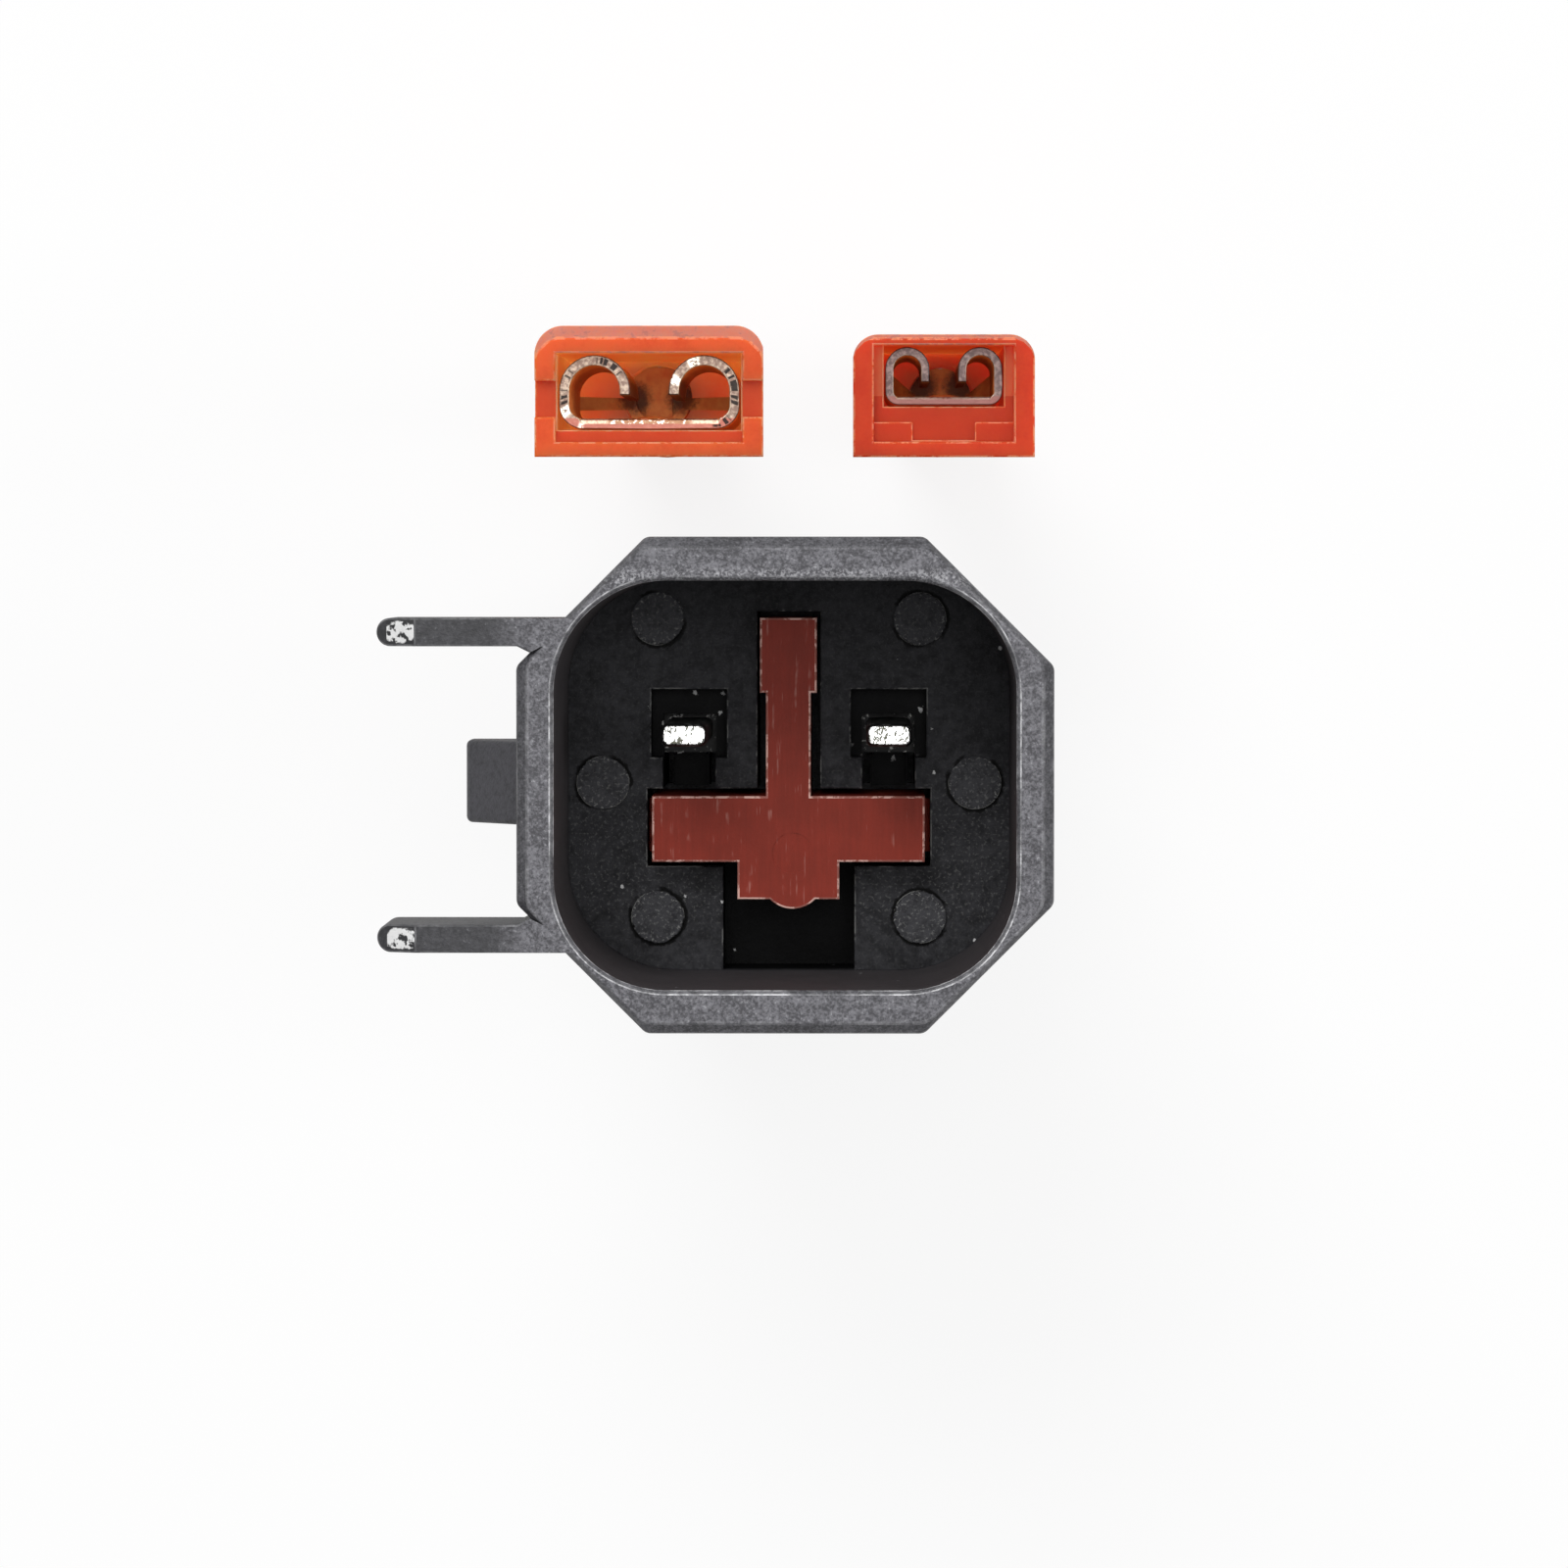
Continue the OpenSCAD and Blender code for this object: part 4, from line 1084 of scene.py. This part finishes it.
    def contacts(self) -> None:
        """Rounds the blades' ends and dresses the two contacts."""
        finish = BrightTin()
        material = finish.material()
        for node in ("left_blade_contact", "right_blade_contact"):
            copy = Copy(node)
            copy.soften(
                [
                    Rounding(self.up_blade, width=0.2, segments=4),
                    Rounding(self.on_tip, width=0.04),
                ],
                sharp=15.0,
            )
            copy.finish([material], finish.slot)

    def build(self) -> None:
        """Builds and dresses the plug."""
        self.housing()
        self.wedge()
        self.contacts()


class TerminalSize(Enum):
    """The two terminals of the set."""

    LARGE = "large"
    SMALL = "small"


@dataclass
class Terminal:
    """One insulated push-on terminal: insulator, receptacle and crimp sleeve. Lengths are in millimetres.

    The wall is given at the left, the right, the floor and the roof of the mouth.
    """

    size: TerminalSize
    wall: tuple[float, float, float, float]
    brow: float
    roll_r: float
    floor_y: float
    tip: Pair
    lip: float
    sparkle: float
    nylon: tuple[Colour, Colour]
    inside: tuple[Colour, Colour]
    reach: Triple
    glow: float
    dark_dashes: Sequence[Stretch]
    glints: Sequence[Stretch]
    silver: Colour
    bright: Colour
    line: Colour
    base: Colour
    set_back: float = 0.6
    sleeve_z: float = 1.3

    def insulator(self) -> None:
        """Rounds the insulator's edges and dresses it, with a clearer nylon inside, painted lighter and
        given a faint painted glow for light coming through the walls.
        """
        copy = Copy(self.size.value + "_insulator", weld=0.03)
        low, high = copy.box
        left, right, floor, roof = self.wall
        bevelled = self.brow > 0.2
        copy.soften(
            [
                Rounding(lambda c: c.convex and c.at(high.z) and (c.straight or bevelled), width=0.06),
                Rounding(lambda c: c.convex and high.z - 0.7 < c.middle.z < high.z - 0.1, width=0.04),
            ]
        )
        brow_y = high.y - self.brow - 0.6
        copy.mark("brow", lambda middle, normal: middle.y > brow_y and 0.2 < normal.z < 0.95)
        deepest, highest = high.z - 1.2, high.z - 0.15
        copy.mark("sunk", lambda middle, normal: normal.z > 0.95 and deepest < middle.z < highest)
        centre_x = 0.5 * (low.x + high.x)
        centre_y = 0.5 * (low.y + floor + high.y - roof)

        def within(middle: Vector, normal: Vector) -> bool:
            """Tells the inside of the mouth.

            Args:
                middle: The face's middle in millimetres.
                normal: Its normal.

            Returns:
                Whether the face lies in the mouth and looks into it.
            """
            aside = low.x + left - 0.03 < middle.x < high.x - right + 0.03
            if not aside or not low.y + floor - 0.03 < middle.y < high.y - roof + 0.03:
                return False
            if normal.z > 0.5:
                beside = abs(middle.x - centre_x) > 0.5 * (high.x - low.x) - left - 0.4
                return middle.z < high.z - (0.3 if beside else self.set_back + 0.05)
            inward = normal.x * (centre_x - middle.x) + normal.y * (centre_y - middle.y) > 0.0
            return inward and middle.z < high.z - 0.12

        copy.assign(1, within)
        outer = OrangeNylon(self.size.value, *self.nylon)
        # The inside copy is painted lighter and given a faint painted glow, standing in for light coming
        # through the walls.
        inner = OrangeNylon(self.size.value + "_inside", *self.inside, self.reach, self.glow)
        copy.finish([outer.material(), inner.material()], outer.slot)

    def receptacle(self) -> None:
        """Rounds the receptacle's front edges and dresses it."""
        copy = Copy(self.size.value + "_receptacle")
        low, high = copy.box
        middle = 0.5 * (low + high)

        def on_lip(corner: Corner) -> bool:
            """Whether an edge is the front edge of the floor, inside the receptacle."""
            here = abs(corner.middle.y - self.floor_y) < 0.02 and abs(corner.along.x) > 0.9
            return corner.convex and corner.at(high.z) and here

        copy.soften(
            [
                Rounding(on_lip, width=self.lip),
                Rounding(lambda c: c.convex and c.at(high.z), width=0.035),
            ],
            sharp=40.0,
        )
        copy.mark(
            "lip",
            lambda place, normal: float(
                abs(place.y - self.floor_y) < 0.25 and normal.y > 0.2 and 0.2 < normal.z < 0.98
            ),
        )
        copy.mark("cut", lambda place, normal: place.z > high.z - 0.15 and normal.z > 0.3)
        copy.inset(0.025, lambda place, normal: place.z > high.z - 0.01 and normal.z > 0.98, "core")
        half = high.x - middle.x - self.roll_r
        top = high.y - self.roll_r

        def faces_in(place: Vector, normal: Vector) -> float:
            """How far a face looks towards the middle of the nearer rolled edge."""
            side = math.copysign(half, place.x - middle.x)
            return normal.x * (middle.x + side - place.x) + normal.y * (top - place.y)

        copy.mark("inner", lambda place, normal: 0.3 < normal.z < 0.98 and faces_in(place, normal) > 0.0)
        copy.mark("outer", lambda place, normal: 0.3 < normal.z < 0.98 and faces_in(place, normal) < 0.0)
        brass = TinnedBrass(
            name=self.size.value,
            roll=(middle.x, half, top),
            dark_dashes=self.dark_dashes,
            glints=self.glints,
            sparkle=self.sparkle,
            silver=self.silver,
            bright=self.bright,
            line=self.line,
            base=self.base,
            floor_y=self.floor_y,
            tip=self.tip,
        )
        copy.finish([brass.material()], brass.slot)

    def sleeve(self) -> None:
        """Rounds the crimp sleeve's ends and dresses it."""
        copy = Copy(self.size.value + "_crimp_sleeve")
        copy.soften([Rounding(lambda c: c.convex and c.middle.z < self.sleeve_z, width=0.04)], sharp=40.0)
        copper = CopperSleeve(self.size.value)
        copy.finish([copper.material()], copper.slot)

    def build(self) -> None:
        """Builds and dresses the terminal."""
        self.insulator()
        self.receptacle()
        self.sleeve()


@dataclass
class Studio:
    """Pale floor, soft lamps and the camera over the sockets.

    The camera's place, its aim and the floor's drop are in millimetres, other lengths in metres.
    """

    camera_place: Triple = (2.5, 7.2, 230.0)
    aim: Triple = (-0.03, 0.06, 30.0)
    lens: float = 144.0
    floor_half: float = 0.6
    floor_drop: float = 0.05
    floor_white: float = 0.85
    sky_light: float = 0.2
    lamp_aim: Triple = (0.0, 0.005, 0.025)

    def floor(self) -> None:
        """White floor that keeps a soft shadow."""
        mesh = bmesh.new()
        drop = Matrix.Translation((0.0, 0.0, -self.floor_drop * MM))
        bmesh.ops.create_grid(mesh, x_segments=1, y_segments=1, size=self.floor_half, matrix=drop)
        data = bpy.data.meshes.new("floor")
        mesh.to_mesh(data)
        mesh.free()
        paint = Paint("floor_white")
        paint.done(Base_Color=(0.9, 0.9, 0.9), Roughness=0.9)
        glow = paint.node("ShaderNodeEmission", None, {"Color": WHITE, "Strength": 1.0})
        lit = Val(paint, paint.shader.outputs[0])
        share = paint.seen() * self.floor_white
        paint.show(paint.node("ShaderNodeMixShader", None, {0: share, 1: lit, 2: glow}))
        data.materials.append(paint.material)
        made = bpy.data.objects.new("floor", data)
        bpy.context.collection.objects.link(made)

    def sky(self) -> None:
        """Surroundings that look white and give a plain, soft light."""
        world = bpy.data.worlds.new("studio")
        bpy.context.scene.world = world
        world.use_nodes = True
        nodes = Nodes(world.node_tree, "ShaderNodeOutputWorld")
        lit = nodes.node("ShaderNodeBackground", None, {"Color": WHITE, "Strength": self.sky_light})
        white = nodes.node("ShaderNodeBackground", None, {"Color": WHITE})
        nodes.show(nodes.node("ShaderNodeMixShader", None, {0: nodes.seen(), 1: lit, 2: white}))

    def lamp(self, name: str, place: Triple, size: float, watts: float) -> None:
        """Square soft lamp that points at the rim.

        Args:
            name: Name of the lamp.
            place: Where it hangs, in metres.
            size: Side of the lamp in metres.
            watts: Its power.
        """
        data = bpy.data.lights.new(name, "AREA")
        data.size = size
        data.energy = watts
        made = bpy.data.objects.new(name, data)
        made.location = place
        towards = Vector(self.lamp_aim) - Vector(place)
        made.rotation_euler = towards.to_track_quat("-Z", "Y").to_euler()
        bpy.context.collection.objects.link(made)

    def camera(self) -> None:
        """Camera that looks down into the sockets, with +Y up in the picture."""
        data = bpy.data.cameras.new("camera")
        data.sensor_width = 36.0
        data.lens = self.lens
        data.clip_start = 0.01
        made = bpy.data.objects.new("camera", data)
        place = Vector(self.camera_place) * MM
        back = (place - Vector(self.aim) * MM).normalized()
        right = Vector((0.0, 1.0, 0.0)).cross(back).normalized()
        made.location = place
        made.rotation_euler = Matrix((right, back.cross(right), back)).transposed().to_euler()
        bpy.context.collection.objects.link(made)
        bpy.context.scene.camera = made

    def build(self) -> None:
        """Builds the floor, the lamps, the surroundings and the camera."""
        self.floor()
        self.sky()
        self.lamp("key_lamp", (-0.1, 0.28, 0.4), 0.2, 1.4)
        self.lamp("front_lamp", (0.02, 0.04, 0.55), 0.2, 0.85)
        self.lamp("right_lamp", (0.36, 0.02, 0.3), 0.15, 0.5)
        self.camera()
        bpy.context.scene.view_settings.view_transform = "Standard"


def main() -> None:
    """Builds the pieces and the studio in order."""
    logging.basicConfig(level=logging.INFO, format="%(name)s: %(message)s")
    Plug().build()
    Terminal(
        TerminalSize.LARGE,
        wall=(0.7, 0.7, 0.5, 0.93),
        brow=0.42,
        roll_r=1.19,
        floor_y=11.94,
        tip=(0.85, 0.0),
        lip=0.17,
        sparkle=1.4,
        nylon=((0.64, 0.08, 0.016), (0.75, 0.118, 0.027)),
        inside=((0.96, 0.26, 0.1), (0.98, 0.34, 0.15)),
        reach=(12.0, 4.0, 2.6),
        glow=0.07,
        dark_dashes=(
            Stretch(Side.LEFT, -26.0, 2.0),
            Stretch(Side.LEFT, 26.0, 40.0),
            Stretch(Side.LEFT, 95.0, 146.0),
            Stretch(Side.RIGHT, -26.0, 45.0),
            Stretch(Side.RIGHT, -76.0, -47.0),
        ),
        glints=(
            Stretch(Side.LEFT, -42.0, -28.0),
            Stretch(Side.LEFT, -72.0, -66.0),
            Stretch(Side.RIGHT, 100.0, 120.0),
            Stretch(Side.RIGHT, 152.0, 168.0),
        ),
        silver=(0.15, 0.1, 0.08),
        bright=(0.36, 0.28, 0.22),
        line=(0.6, 0.5, 0.36),
        base=(0.31, 0.1, 0.075),
    ).build()
    Terminal(
        TerminalSize.SMALL,
        wall=(0.7, 0.7, 0.52, 0.36),
        brow=0.14,
        roll_r=0.745,
        floor_y=12.69,
        tip=(0.68, -0.3),
        lip=0.08,
        sparkle=0.0,
        nylon=((0.52, 0.036, 0.007), (0.6, 0.056, 0.011)),
        inside=((0.86, 0.17, 0.07), (0.9, 0.22, 0.09)),
        reach=(3.0, 1.2, 0.8),
        glow=0.04,
        dark_dashes=(),
        glints=(),
        silver=(0.07, 0.048, 0.046),
        bright=(0.17, 0.12, 0.11),
        line=(0.36, 0.3, 0.24),
        base=(0.17, 0.072, 0.064),
    ).build()
    Studio().build()


if __name__ == "__main__":
    main()
